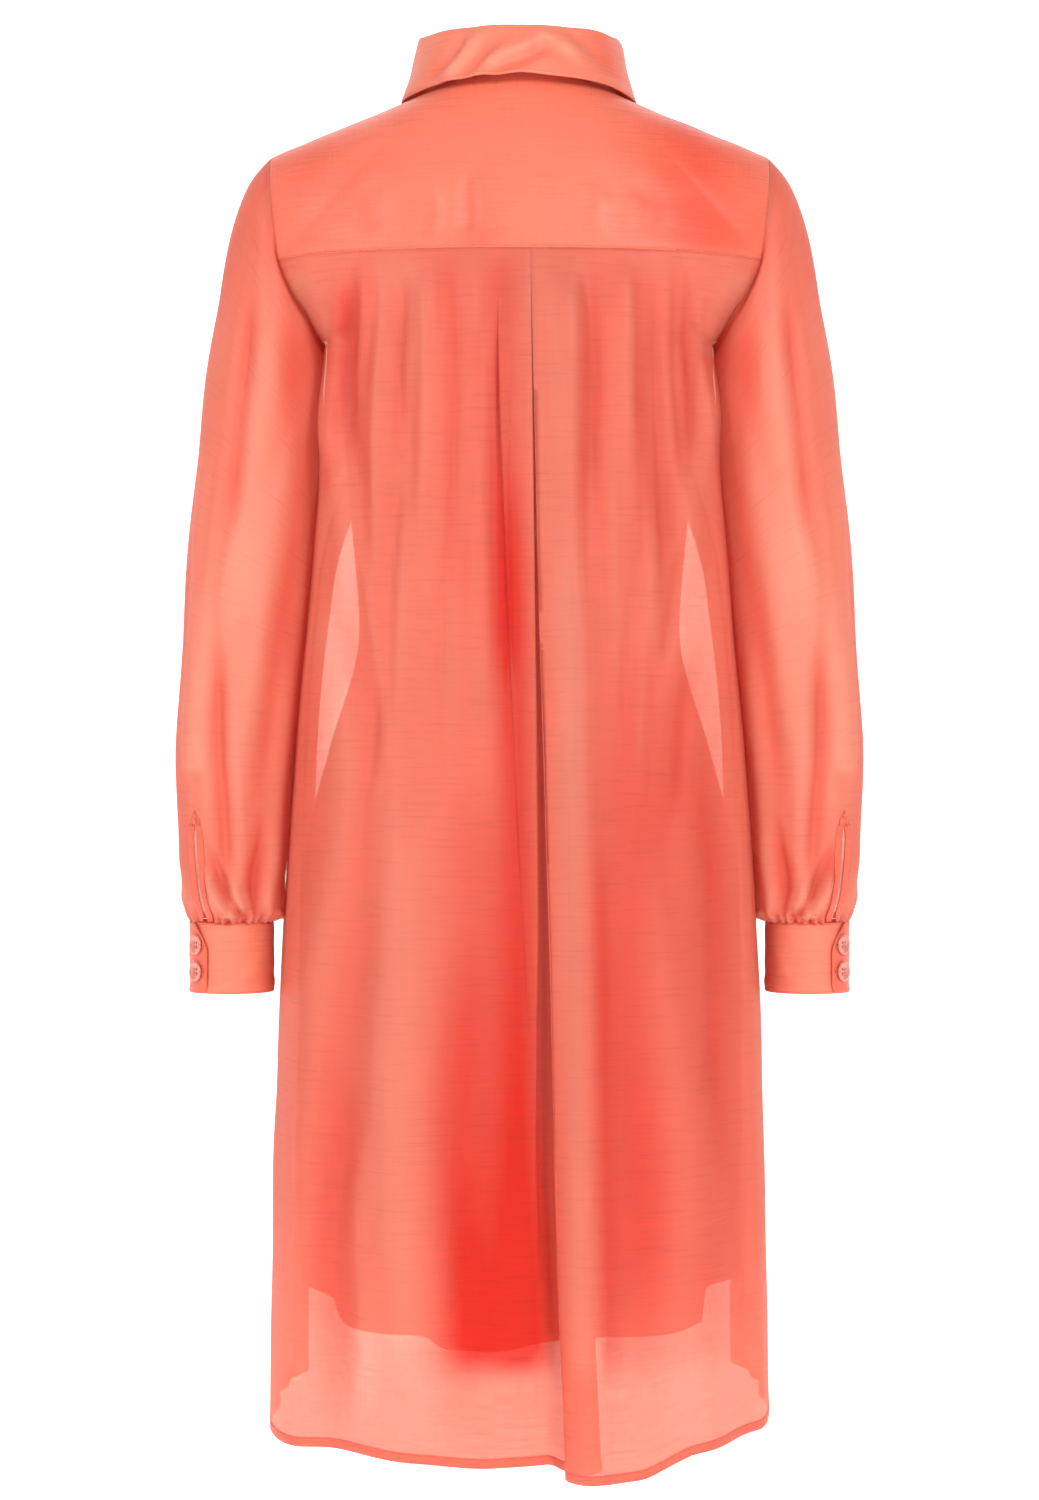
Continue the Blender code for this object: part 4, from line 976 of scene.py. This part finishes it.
def buildSleeve():
    slit = slitPlace()
    upper = np.linspace(0, slit, dense(sleeve["rows"] * 0.68))
    lower = np.linspace(slit, sleeve["end"], dense(sleeve["rows"] * 0.32))
    placeRows = np.concatenate([upper, lower[1:]])
    share = np.linspace(0, 1, int(sleeve["columns"] * max(finer, 0.8)) + 1)
    front, back = (edge[:, None] for edge in slitEdges(placeRows))
    angles = sleeve["slitAngle"] + back + (360 - back - front) * share[None, :]
    grid = sleevePoint(placeRows[:, None], angles)
    outward = gridNormals(grid) * (1, 1, 0.25)
    moved = sleeveRelief(placeRows[:, None], angles, grid[..., 2] - cuff["topZ"])
    ends = np.minimum(placeRows / 0.8, 1)
    nearSlit = np.where(placeRows[:, None] > slit - 1, heldEnds(share, 0.04)[None, :], 1)
    moved = (moved + ripple(grid.shape[:2], 41, sleeve["unevenness"], 4)) * ends[:, None] * nearSlit
    seamless = (moved[:, 0] + moved[:, -1]) / 2  # both edges of the closed part meet
    closed = placeRows <= slit
    fade = heldEnds(share, 0.05)[None, :]
    moved = np.where(closed[:, None], moved * fade + seamless[:, None] * (1 - fade), moved)
    outward[closed, 0] = outward[closed, -1] = (outward[closed, 0] + outward[closed, -1]) / 2
    return grid + outward * moved[..., None], placeRows, slit, angles, moved


def bindingGrid(grid, placeRows, slit, width):
    # a strip down one side of the slit, over its top and up the other
    rows = np.where(placeRows >= slit)[0]
    rows = rows[placeRows[rows] < sleeve["end"] - 0.15]
    step = max(1, len(rows) // 40)
    rows = rows[::step]
    cols = max(2, int(round(width / (sleeve["angleSize"] * 360 / (grid.shape[1] - 1)))))
    edgeA = [[grid[row, k] for k in range(cols + 1)] for row in rows[::-1]]
    edgeB = [[grid[row, -1 - k] for k in range(cols + 1)] for row in rows]
    top = rows[0]
    lift = max(2, int(round(width / np.linalg.norm(grid[top, 0] - grid[top - 1, 0]))))
    cap = []
    for turn in np.linspace(-90, 90, 9)[1:-1]:
        line = []
        for k in range(cols + 1):
            share = k / cols
            col = -math.sin(math.radians(turn)) * share * cols
            up = math.cos(math.radians(turn)) * share * lift
            whole = int(math.floor(col))
            a, b = grid[top - int(up), whole], grid[top - int(up), whole + 1 if whole != -1 else 0]
            line.append(a + (b - a) * (col - whole))
        cap.append(line)
    return np.array(edgeA + cap + edgeB)


def cuffOut(run):
    over = smoothStep((cuff["overlap"] + 60 - run) / 60)
    under = smoothStep((run - 300) / 60)
    return cuff["lapOut"] * (over - under)


def cuffPoint(angle, drop, out=0.0):
    turn = np.radians(angle)
    x = cuff["centreX"] + (cuff["halfWidth"] + out) * np.cos(turn)
    y = (cuff["halfDepth"] + out) * np.sin(turn)
    return np.stack(np.broadcast_arrays(x, y, cuff["topZ"] - drop), axis=-1)


def buildCuff():
    full = 360 + cuff["overlap"]
    share = np.linspace(1, 0, dense(cuff["rows"]))[:, None]
    runs = np.linspace(full, 0, dense(cuff["columns"]))[None, :]
    fromEdge = np.minimum(runs, full - runs) * cuff["angleSize"]
    radius = cuff["cornerRadius"]
    corner = radius - np.sqrt(np.maximum(radius**2 - np.maximum(radius - fromEdge, 0) ** 2, 0))
    drop = (cuff["height"] - corner) * (1 - share)
    drop = drop + 0 * runs
    out = cuffOut(runs) + 0 * share
    lead = cuff["lead"] * np.clip(1 - drop / cuff["leadDrop"], 0, 1) ** 1.6 * np.clip(1 - runs / cuff["leadRun"], 0, 1)
    grid = cuffPoint(cuff["edgeAngle"] - runs - lead, drop, out)
    fade = np.clip(np.minimum(runs, full - runs) / 40, 0, 1) * np.ones_like(share)
    # painted shade on the overlapping flap, partly the deeper colour of its extra layer, and a painted shadow along
    # the flap's edge
    tone = cuff["lapShade"] * smoothStep((66 - runs) / 8)
    tone = tone + cuff["edgeShadow"] * bell(runs - 62, 5) * smoothStep((runs - 60) / 4)
    return creased(grid, None, cuff["folds"], 53, cuff["unevenness"], fade), tone * np.ones_like(share)


def sleeveTone(grid, placeRows, angles, seed):
    places = placeRows[:, None]
    tone = np.zeros(grid.shape[:2])
    for angle, first, last, width, strength in sleeve["shadeAndLightBands"]:
        reach = smoothStep((places - first) / 1.5) * smoothStep((last - places) / 1.5)
        tone += strength * reach * bell(signedAngle(angles - angle), width)
    # the painted shade and light bands, and an uneven colour at random
    return tone + ripple(grid.shape[:2], seed, 0.10, 4)


sleeveGrid, sleevePlaces, slitAt, sleeveAngles, sleeveMoved = buildSleeve()
sleeveShade = sleeveTone(sleeveGrid, sleevePlaces, sleeveAngles, 71)
# painted shade in the valleys of the gathers and folds, painted light on their crests
sleeveShade = sleeveShade - np.clip(sleeveMoved * sleeve["foldShading"], -0.45, 0.60)
# painted shade along the right slit, darker than the left
slitShade = sleeve["slitShadeStrength"] * bell(signedAngle(sleeveAngles - (sleeve["slitAngle"] + 9)), 8)
slitEnds = smoothStep((sleevePlaces - slitAt) / 1.2) * smoothStep((sleeve["end"] - 0.4 - sleevePlaces) / 0.8)
slitShade = slitShade * slitEnds[:, None]
cuffGrid, cuffTone = buildCuff()
for side, sign in bothSides:
    name, right = side.lower(), sign < 0
    grid, tone = sleeveGrid * (sign, 1, 1), sleeveShade + slitShade * right
    closed = sleevePlaces <= slitAt
    addCloth("sleeve" + side, "sleeve" + side + "Shell", "sleeve_" + name, "voile", grid, tone=tone, weldAbove=closed)
    strip = bindingGrid(grid, sleevePlaces, slitAt, sleeve["bindingWidth"])
    folded = {"wall": sleeve["bindingWall"], "shift": sleeve["bindingShift"]}
    folded["tone"] = np.full(strip.shape[:2], sleeve["bindingTone"])
    centre = (0.2 * sign, 0, 0)
    addCloth("binding" + side, "slitBinding" + side, "slit_binding_" + name, "doubledVoile", strip, centre, **folded)
    armhole = ("top", cut["seamAllowance"], None, (0.17 * sign, 0, 0))
    addTurning("sleeve" + side, "armholeTurning" + side, grid[:, 1:-1], *armhole)
    tone = cuffTone[:, ::-1] if right else cuffTone
    grid = onSide(cuffGrid, sign)
    addCloth("cuff" + side, "cuff" + side + "Band", "cuff_" + name, "doubledVoile", grid, wall=cuff["wall"], tone=tone)
print("sleeves and cuffs made")

# ---- lining slip ----
slipSection = tableOf("z half centre back front", [
    (-940, 164, -60, 50, -166), (-750, 169, -45, 66, -150), (-606, 169, -30, 72, -134), (-560, 163, -22, 70, -124),
    (-492, 145, -10, 68, -112), (-400, 121.5, -5, 64, -102), (-300, 129, 0, 76, -104), (-190, 136, 0, 88, -100),
    (-100, 129, 0, 80, -80),
])
slipHem = tableOf("angle rise", [
    (-180, 22), (-90, 40), (-63, 36), (-61, 9), (-20, 8), (-8, 8), (8, 0), (20, -1), (27, 9), (52, 10), (60, 16),
    (63, 28), (90, 34), (180, 22),
], (1, 1000))
slipTop = tableOf("angle z", [
    (0, -108), (60, -110), (78, -155), (90, -200), (102, -170), (125, -135), (150, -165), (180, -175),
], (1, 1000))
slip = {
    "hemZ": -0.938,
    "rows": 90,
    "columns": 120,
    "fluteDepth": 0.006,
    "flutes": 9,
    "strapWidth": 0.034,
    "unevenness": 0.0015,
}


def slipPoint(angle, z):
    turn = np.radians(angle)
    centre, half = readTable(slipSection, "centre", z), readTable(slipSection, "half", z)
    back, front = readTable(slipSection, "back", z), readTable(slipSection, "front", z)
    reach = np.where(np.cos(turn) > 0, back - centre, centre - front)
    flute = slip["fluteDepth"] * np.clip((-0.55 - z) / 0.39, 0, 1) * np.cos(np.radians(slip["flutes"] * angle))
    return np.stack([(half + flute) * np.sin(turn), centre + (reach + flute) * np.cos(turn), z], axis=-1)


def slipPanel(first, last, seed):
    angles = np.linspace(first, last, dense(slip["columns"]))[None, :]
    signed = signedAngle(angles)
    top = readTable(slipTop, "z", np.abs(signed))
    share = np.linspace(0, 1, dense(slip["rows"]))[:, None]
    z = top + (slip["hemZ"] + readTable(slipHem, "rise", signed) - top) * share
    grid = slipPoint(angles + 0 * z, z)
    normals = gridNormals(grid, origin)
    hold = heldEnds(np.linspace(0, 1, grid.shape[1]), 0.05)
    return grid + normals * (ripple(grid.shape[:2], seed, slip["unevenness"], 4) * hold)[..., None]


def strapGrid():
    backTop, frontTop = slipPoint(np.array(52.0), np.array(-0.108)), slipPoint(np.array(124.0), np.array(-0.132))
    crest = np.array([0.098, 0.004, -0.0165])
    t = np.linspace(0, 1, dense(60))[:, None]
    bend = 2 * crest - (backTop + frontTop) / 2
    path = (1 - t) ** 2 * backTop + 2 * t * (1 - t) * bend + t**2 * frontTop + (0, 0, 0.0012)
    across = np.array([1, 0, -0.35]) / math.hypot(1, 0.35)
    spread = np.linspace(-0.5, 0.5, dense(12)) * slip["strapWidth"]
    return path[:, None, :] + across[None, None, :] * spread[None, :, None]


slipBack, slipFront = slipPanel(89.9, -89.9, 61), slipPanel(269.9, 90.1, 67)
addCloth("slipBack", "slipBackPanel", "slip_back", "lining", slipBack, frontMiddle)
addCloth("slipFront", "slipFrontPanel", "slip_front", "lining", slipFront, frontMiddle)
straps = strapGrid()
for side, sign in bothSides:
    name = "strap" + side
    addCloth(name, name, "strap_" + side.lower(), "lining", straps * (sign, 1, 1), (0, 0, -0.1))
print("slip made")

# ---- sewing: one tree lays stitches along a path ----
sewing = {
    "edgeGap": 0.0015,  # from an edge to its row of stitches
    "hemGap": 0.0062,
    "fallGap": 0.0022,
    "pitch": 0.0026,
    "length": 0.0020,
    "radius": 0.00021,
    "unevenness": 0.05,
    "holeLength": 0.0165,
    "holeWidth": 0.0024,
    "holePitch": 0.00062,
    "holeStitch": 0.0011,
    "holeRadius": 0.0002,
    "holeLift": 0.00015,
}


def stitchTree():
    tree = bpy.data.node_groups.new("sewnStitches", "GeometryNodeTree")
    given = {"Geometry": "Geometry", **dict.fromkeys(("Pitch", "Length", "Radius", "Across", "Unevenness"), "Float")}
    for name, kind in {**given, "Seed": "Int", "Thread": "Material"}.items():
        tree.interface.new_socket(name, in_out="INPUT", socket_type="NodeSocket" + kind)
    tree.interface.new_socket("Geometry", in_out="OUTPUT", socket_type="NodeSocketGeometry")
    make = nodeMaker(tree)[0]
    given = make("NodeGroupInput").outputs
    path = make("GeometryNodeMeshToCurve", Mesh=given["Geometry"]).outputs[0]
    spaced = make("GeometryNodeResampleCurve", mode="LENGTH", Curve=path, Length=given["Pitch"]).outputs[0]
    up = make("GeometryNodeInputNamedAttribute", data_type="FLOAT_VECTOR", Name="up").outputs["Attribute"]
    tangent = make("GeometryNodeInputTangent").outputs[0]
    crossed = make("ShaderNodeVectorMath", operation="CROSS_PRODUCT", i0=up, i1=tangent).outputs[0]
    lie = make("ShaderNodeMix", data_type="VECTOR", i0=given["Across"], i4=tangent, i5=crossed).outputs[1]
    spread = {"i0": (-1, -1, -1), "i1": (1, 1, 1)}
    chance = make("FunctionNodeRandomValue", data_type="FLOAT_VECTOR", Seed=given["Seed"], **spread).outputs[0]
    stray = make("ShaderNodeVectorMath", operation="SCALE", i0=chance, Scale=given["Unevenness"]).outputs[0]
    aim = make("ShaderNodeVectorMath", operation="ADD", i0=lie, i1=stray).outputs[0]
    turned = make("FunctionNodeAlignRotationToVector", axis="Z", Vector=aim).outputs[0]
    stitch = make("GeometryNodeMeshCylinder", Vertices=6, Radius=given["Radius"], Depth=given["Length"]).outputs[0]
    many = make("GeometryNodeInstanceOnPoints", Points=spaced, Instance=stitch, Rotation=turned).outputs[0]
    real = make("GeometryNodeRealizeInstances", Geometry=many).outputs[0]
    done = make("GeometryNodeSetMaterial", Geometry=real, Material=given["Thread"]).outputs[0]
    make("NodeGroupOutput", Geometry=done)
    return tree


stitches = stitchTree()


def sew(owner, paths, seed, across=0.0, pitch=sewing["pitch"], length=sewing["length"], radius=sewing["radius"]):
    # paths are pairs of points and the directions out of the cloth
    points = np.concatenate([line for line, _ in paths])
    ups = np.concatenate([up for _, up in paths])
    edges, first = [], 0
    for line, _ in paths:
        edges += [(first + k, first + k + 1) for k in range(len(line) - 1)]
        first += len(line)
    mesh = bpy.data.meshes.new(owner + "Path")
    mesh.from_pydata(points.tolist(), edges, [])
    mesh.attributes.new("up", "FLOAT_VECTOR", "POINT").data.foreach_set("vector", ups.astype(np.float32).ravel())
    path = bpy.data.objects.new(owner + "Path", mesh)
    scene.collection.objects.link(path)
    sewn = path.modifiers.new("sewing", "NODES")
    sewn.node_group = stitches
    values = {"Pitch": pitch, "Length": length, "Radius": radius, "Across": across, "Seed": seed}
    values.update({"Unevenness": sewing["unevenness"], "Thread": materials["thread"]})
    for item in stitches.interface.items_tree:
        if item.in_out == "INPUT" and item.name in values:
            sewn[item.identifier] = values[item.name]
    bpy.context.view_layer.update()
    made = bpy.data.meshes.new_from_object(path.evaluated_get(bpy.context.evaluated_depsgraph_get()))
    bpy.data.objects.remove(path)
    made.shade_smooth()
    piece = bpy.data.objects.new(f"{owner}Stitches{seed}", made)
    scene.collection.objects.link(piece)
    addTrim(owner, piece)


def edgeRow(grid, edge, gap, centre, lift, trim=0):
    points, ups = insetLine(grid, edge, gap, centre, lift)
    return (points[trim:-trim], ups[trim:-trim]) if trim else (points, ups)


thin, thick = (cloths[cloth]["wall"] / 2 + sewing["radius"] * 0.5 for cloth in ("voile", "doubledVoile"))
edgeGap, hemGap, collarLift = sewing["edgeGap"], sewing["hemGap"], collar["wall"] / 2
sew("back", [edgeRow(backGrid, "bottom", hemGap, middle, thin)], 1)
seamColumns = dense(40)
half = yokeGrid.shape[1] // 2
yokeSeam = yokeGrid[:, half - seamColumns : half + seamColumns + 1]
sew("yoke", [edgeRow(yokeSeam, "bottom", edgeGap, middle, thick)], 2)
bandEdges, fallEdges = ("first", "last", "bottom"), ("bottom", "first", "last")
for number, (side, sign) in enumerate(bothSides):
    band, grid, lift = panels["band" + side], onSide(cuffGrid, sign), cuff["wall"] / 2
    sew("front" + side, [edgeRow(panels["front" + side], "bottom", hemGap, frontMiddle, thin)], 3 + number)
    sew("band" + side, [edgeRow(band, edge, edgeGap, frontMiddle, thick) for edge in bandEdges], 5 + number)
    sew("cuff" + side, [edgeRow(grid, edge, edgeGap, None, lift, 2) for edge in ("top", *fallEdges)], 7 + number)
sew("collarFall", [edgeRow(fallGrid, edge, sewing["fallGap"], origin, collarLift, 2) for edge in fallEdges], 9)
sew("collarStand", [edgeRow(standGrid, "bottom", edgeGap, origin, collarLift, 2)], 10)
sew("slipBack", [edgeRow(slipBack, "bottom", hemGap, frontMiddle, thin)], 11)
sew("slipFront", [edgeRow(slipFront, "bottom", hemGap, frontMiddle, thin)], 12)
print("stitches laid")

# ---- buttons and buttonholes ----
button = {
    "radius": 0.0075,
    "thickness": 0.0022,
    "holeRadius": 0.00085,
    "holeSpread": 0.0015,
    "threadWidth": 0.00042,
    "threadHeight": 0.00026,
    "lift": 0.0005,
    "spokes": 40,
    "first": -0.115,
    "step": 0.089,
    "front": 9,
    # share of the radius and of the thickness, from the middle of the face round to the back
    "profile": [
        (0, 0.5), (0.52, 0.54), (0.64, 0.7), (0.76, 0.94), (0.86, 1),
        (0.95, 0.88), (1, 0.58), (0.95, 0.18), (0.86, 0), (0, 0),
    ],
}


def bareObject(name, mesh):
    made = bpy.data.objects.new(name, mesh)
    scene.collection.objects.link(made)
    return made


def around(count):
    return np.linspace(0, 2 * math.pi, count, endpoint=False)


def meshOf(bm, name):
    mesh = bpy.data.meshes.new(name)
    bm.to_mesh(mesh)
    bm.free()
    return mesh


def makeButtonMesh():
    bm, rings, spokes = bmesh.new(), [], button["spokes"]
    for share, height in button["profile"]:
        z, radius = height * button["thickness"], share * button["radius"]
        turns = around(spokes) if share else [0.0]
        rings.append([bm.verts.new((radius * math.cos(t), radius * math.sin(t), z)) for t in turns])
    for upper, lower in zip(rings[:-1], rings[1:]):
        for k in range(spokes):
            a, b = k % len(upper), (k + 1) % len(upper)
            corners = [upper[a], lower[k % len(lower)], lower[(k + 1) % len(lower)], upper[b]]
            bm.faces.new(list(dict.fromkeys(corners)))
    bmesh.ops.recalc_face_normals(bm, faces=bm.faces[:])
    blank = bareObject("buttonBlank", meshOf(bm, "buttonBlank"))
    drill, spread = bmesh.new(), button["holeSpread"]
    size = {"segments": 14, "radius1": button["holeRadius"], "radius2": button["holeRadius"], "depth": 0.01}
    for x, y in ((1, 1), (-1, 1), (-1, -1), (1, -1)):
        made = bmesh.ops.create_cone(drill, cap_ends=True, **size)
        bmesh.ops.translate(drill, verts=made["verts"], vec=(x * spread, y * spread, 0))
    tool = bareObject("buttonDrill", meshOf(drill, "buttonDrill"))
    drilled = blank.modifiers.new("holes", "BOOLEAN")
    drilled.operation, drilled.solver, drilled.object = "DIFFERENCE", "EXACT", tool
    bpy.context.view_layer.update()
    result = bpy.data.meshes.new_from_object(blank.evaluated_get(bpy.context.evaluated_depsgraph_get()))
    bpy.data.objects.remove(blank)
    bpy.data.objects.remove(tool)
    bm = bmesh.new()
    bm.from_mesh(result)
    for face in bm.faces:
        face.material_index = 0
    for sign in (1, -1):  # two runs of thread from hole to hole, each a little arched
        rings = []
        for t in np.linspace(-1, 1, 7):
            x, y, z = t * spread, sign * spread, (0.34 + 0.36 * math.cos(t * 1.3)) * button["thickness"]
            wide, high = button["threadWidth"], button["threadHeight"]
            ring = [(x, y + wide * math.cos(a), z + high * math.sin(a)) for a in around(8)]
            rings.append([bm.verts.new(corner) for corner in ring])
        for one, two in zip(rings[:-1], rings[1:]):
            for k in range(8):
                bm.faces.new((one[k], two[k], two[(k + 1) % 8], one[(k + 1) % 8])).material_index = 1
        bm.faces.new(rings[0]).material_index = 1
        bm.faces.new(rings[-1][::-1]).material_index = 1
    bm.to_mesh(result)
    bm.free()
    return result


def facing(away):  # three directions: across, up and out
    away = np.asarray(away, float) / np.linalg.norm(away)
    side = np.cross(away, (0, 0, 1))
    side /= np.linalg.norm(side)
    return np.array([side, np.cross(away, side), away])


def bandSpot(grid, z):
    normals = gridNormals(grid, frontMiddle)
    column = grid.shape[1] // 2
    row = int(np.argmin(np.abs(grid[:, column, 2] - z)))
    return grid[row, column], normals[row, column]


def standSpot(sign):
    points = standPoint(np.array([132.0, 124.0]) * sign, 0.5)
    above = standPoint(np.array([132.0]) * sign, 0.8)[0]
    away = np.cross(above - points[0], points[1] - points[0])
    return points[0], away * math.copysign(1, -away[1])


def cuffSpot(drop, sign):
    angle = cuff["buttonAngle"]
    spot = cuffPoint(float(angle), drop, cuffOut(float(cuff["edgeAngle"] - angle)))
    turn = math.radians(angle)
    away = np.array([math.cos(turn) / cuff["halfWidth"], math.sin(turn) / cuff["halfDepth"], 0])
    return spot * (sign, 1, 1), away * (sign, 1, 1)


frontHeights = [button["first"] - number * button["step"] for number in range(button["front"])]
spots = {f"front_{number + 1}": bandSpot(panels["bandLeft"], z) for number, z in enumerate(frontHeights)}
spots["stand"] = standSpot(1)
for side, sign in bothSides:
    for number, drop in enumerate(cuff["buttonDrops"]):
        spots[f"cuff_{side.lower()}_{number + 1}"] = cuffSpot(drop, sign)
blank = makeButtonMesh()
shape = np.array([vert.co[:] for vert in blank.vertices])
for name, (spot, away) in spots.items():
    mesh = blank.copy()
    turned = facing(away)
    lifted = spot + turned[2] * (cloths["doubledVoile"]["wall"] / 2 + button["lift"])
    mesh.vertices.foreach_set("co", (shape @ turned + lifted).astype(np.float32).ravel())
    mesh.materials.clear()
    for kind in ("button", "thread"):
        mesh.materials.append(materials[kind])
    mesh.shade_flat()
    bm = bmesh.new()
    bm.from_mesh(mesh)
    for face in bm.faces:
        face.smooth = face.calc_area() < 4e-6
    bm.to_mesh(mesh)
    bm.free()
    place(bareObject("sewnButton_" + name, mesh), ["button_" + name])


def buttonhole(spot, away, upright):
    side, up, out = facing(away)
    run, cross = (up, side) if upright else (side, up)
    half, wide = sewing["holeLength"] / 2, sewing["holeWidth"] / 2
    turns = np.linspace(0, 2 * math.pi, 49)
    alongRun = np.clip(np.cos(turns) * half * 1.6, -half, half)
    acrossRun = np.sign(np.sin(turns)) * np.minimum(np.abs(np.sin(turns)) * 4, 1) * wide
    points = spot + run * alongRun[:, None] + cross * acrossRun[:, None]
    return points + out * (cloths["doubledVoile"]["wall"] / 2 + sewing["holeLift"]), np.tile(out, (len(turns), 1))


holes = {"bandRight": [buttonhole(*bandSpot(panels["bandRight"], z), True) for z in frontHeights]}
holes["collarStand"] = [buttonhole(*standSpot(-1), False)]
for side, sign in bothSides:
    holes["cuff" + side] = [buttonhole(*cuffSpot(drop, sign), False) for drop in cuff["buttonDrops"]]
closeStitches = {"pitch": sewing["holePitch"], "length": sewing["holeStitch"], "radius": sewing["holeRadius"]}
for number, (owner, paths) in enumerate(holes.items()):
    sew(owner, paths, 21 + number, across=1.0, **closeStitches)
print("buttons and buttonholes made")
# ---- stage, light and camera ----
studio = {
    "floorZ": -1.75,
    "floorEnd": 9.0,
    "wallY": -8.0,
    "width": 26.0,
    "bend": 1.5,
    "wallTop": 11.0,
    "ambient": 0.48,
    "distance": 2.0,
    "cameraZ": -0.492,
    "lens": 63.16,
}


def stageMaterial():
    material, make, reckon = newMaterial("paperBackdrop")
    spot = make("ShaderNodeTexCoord").outputs["Object"]
    grain = make("ShaderNodeTexNoise", Vector=spot, Scale=3.0, Detail=2.0).outputs["Fac"]
    tone = reckon("ADD", reckon("MULTIPLY", grain, 0.02), 0.93)
    colour = make("ShaderNodeCombineColor", i0=tone, i1=tone, i2=tone).outputs[0]
    glow = {"Emission_Color": (1, 1, 1, 1), "Emission_Strength": 0.85}
    surface = make("ShaderNodeBsdfPrincipled", Base_Color=colour, Roughness=0.9, **glow)
    make("ShaderNodeOutputMaterial", Surface=surface.outputs[0])
    return material


def buildStage():
    wallY, floorZ, bend = studio["wallY"], studio["floorZ"], studio["bend"]
    turns = np.linspace(0, math.pi / 2, 12)
    corner = [(wallY + bend * (1 - math.sin(t)), floorZ + bend * (1 - math.cos(t))) for t in turns]
    profile = [(studio["floorEnd"], floorZ), *corner, (wallY, studio["wallTop"])]
    xs = (-studio["width"] / 2, studio["width"] / 2)
    points = [(x, y, z) for y, z in profile for x in xs]
    faces = [(2 * k, 2 * k + 1, 2 * k + 3, 2 * k + 2) for k in range(len(profile) - 1)]
    addMesh("backdrop", points, faces, stageMaterial())


def addLight(name, energy, size, spot, aim):
    light = bpy.data.lights.new(name, "AREA")
    light.energy, light.size = energy, size
    lamp = bareObject(name, light)
    lamp.location = spot
    x, y, z = np.array(aim) - np.array(spot)
    lamp.rotation_euler = (math.atan2(math.hypot(x, y), -z), 0, math.atan2(-x, y))


buildStage()
addLight("keyLight", 66, 1.0, (-1.5, 2.7, 0.9), (0, 0, -0.40))
addLight("fillLight", 46, 1.2, (2.1, 2.1, 0.8), (0, 0, -0.45))
addLight("backLight", 12, 2.0, (0.0, -1.6, 1.9), (0, 0, -0.4))
world = bpy.data.worlds.new("studioWorld")
scene.world = world
world.use_nodes = True
make, reckon = nodeMaker(world.node_tree)
seen = make("ShaderNodeLightPath").outputs["Is Camera Ray"]
dimmer = reckon("MAXIMUM", seen, studio["ambient"])  # white where it is seen past the backdrop, dimmer as light
sky = make("ShaderNodeBackground", Color=(1, 1, 1, 1), Strength=dimmer)
make("ShaderNodeOutputWorld", Surface=sky.outputs[0])
camera = bareObject("camera", bpy.data.cameras.new("camera"))
camera.location = (0, studio["distance"], studio["cameraZ"])
camera.rotation_euler = (math.pi / 2, 0, math.pi)
camera.data.lens = studio["lens"]
scene.camera = camera
scene.view_settings.view_transform = "Standard"
scene.cycles.transparent_max_bounces = 32
scene.cycles.max_bounces = 10
print("studio made")
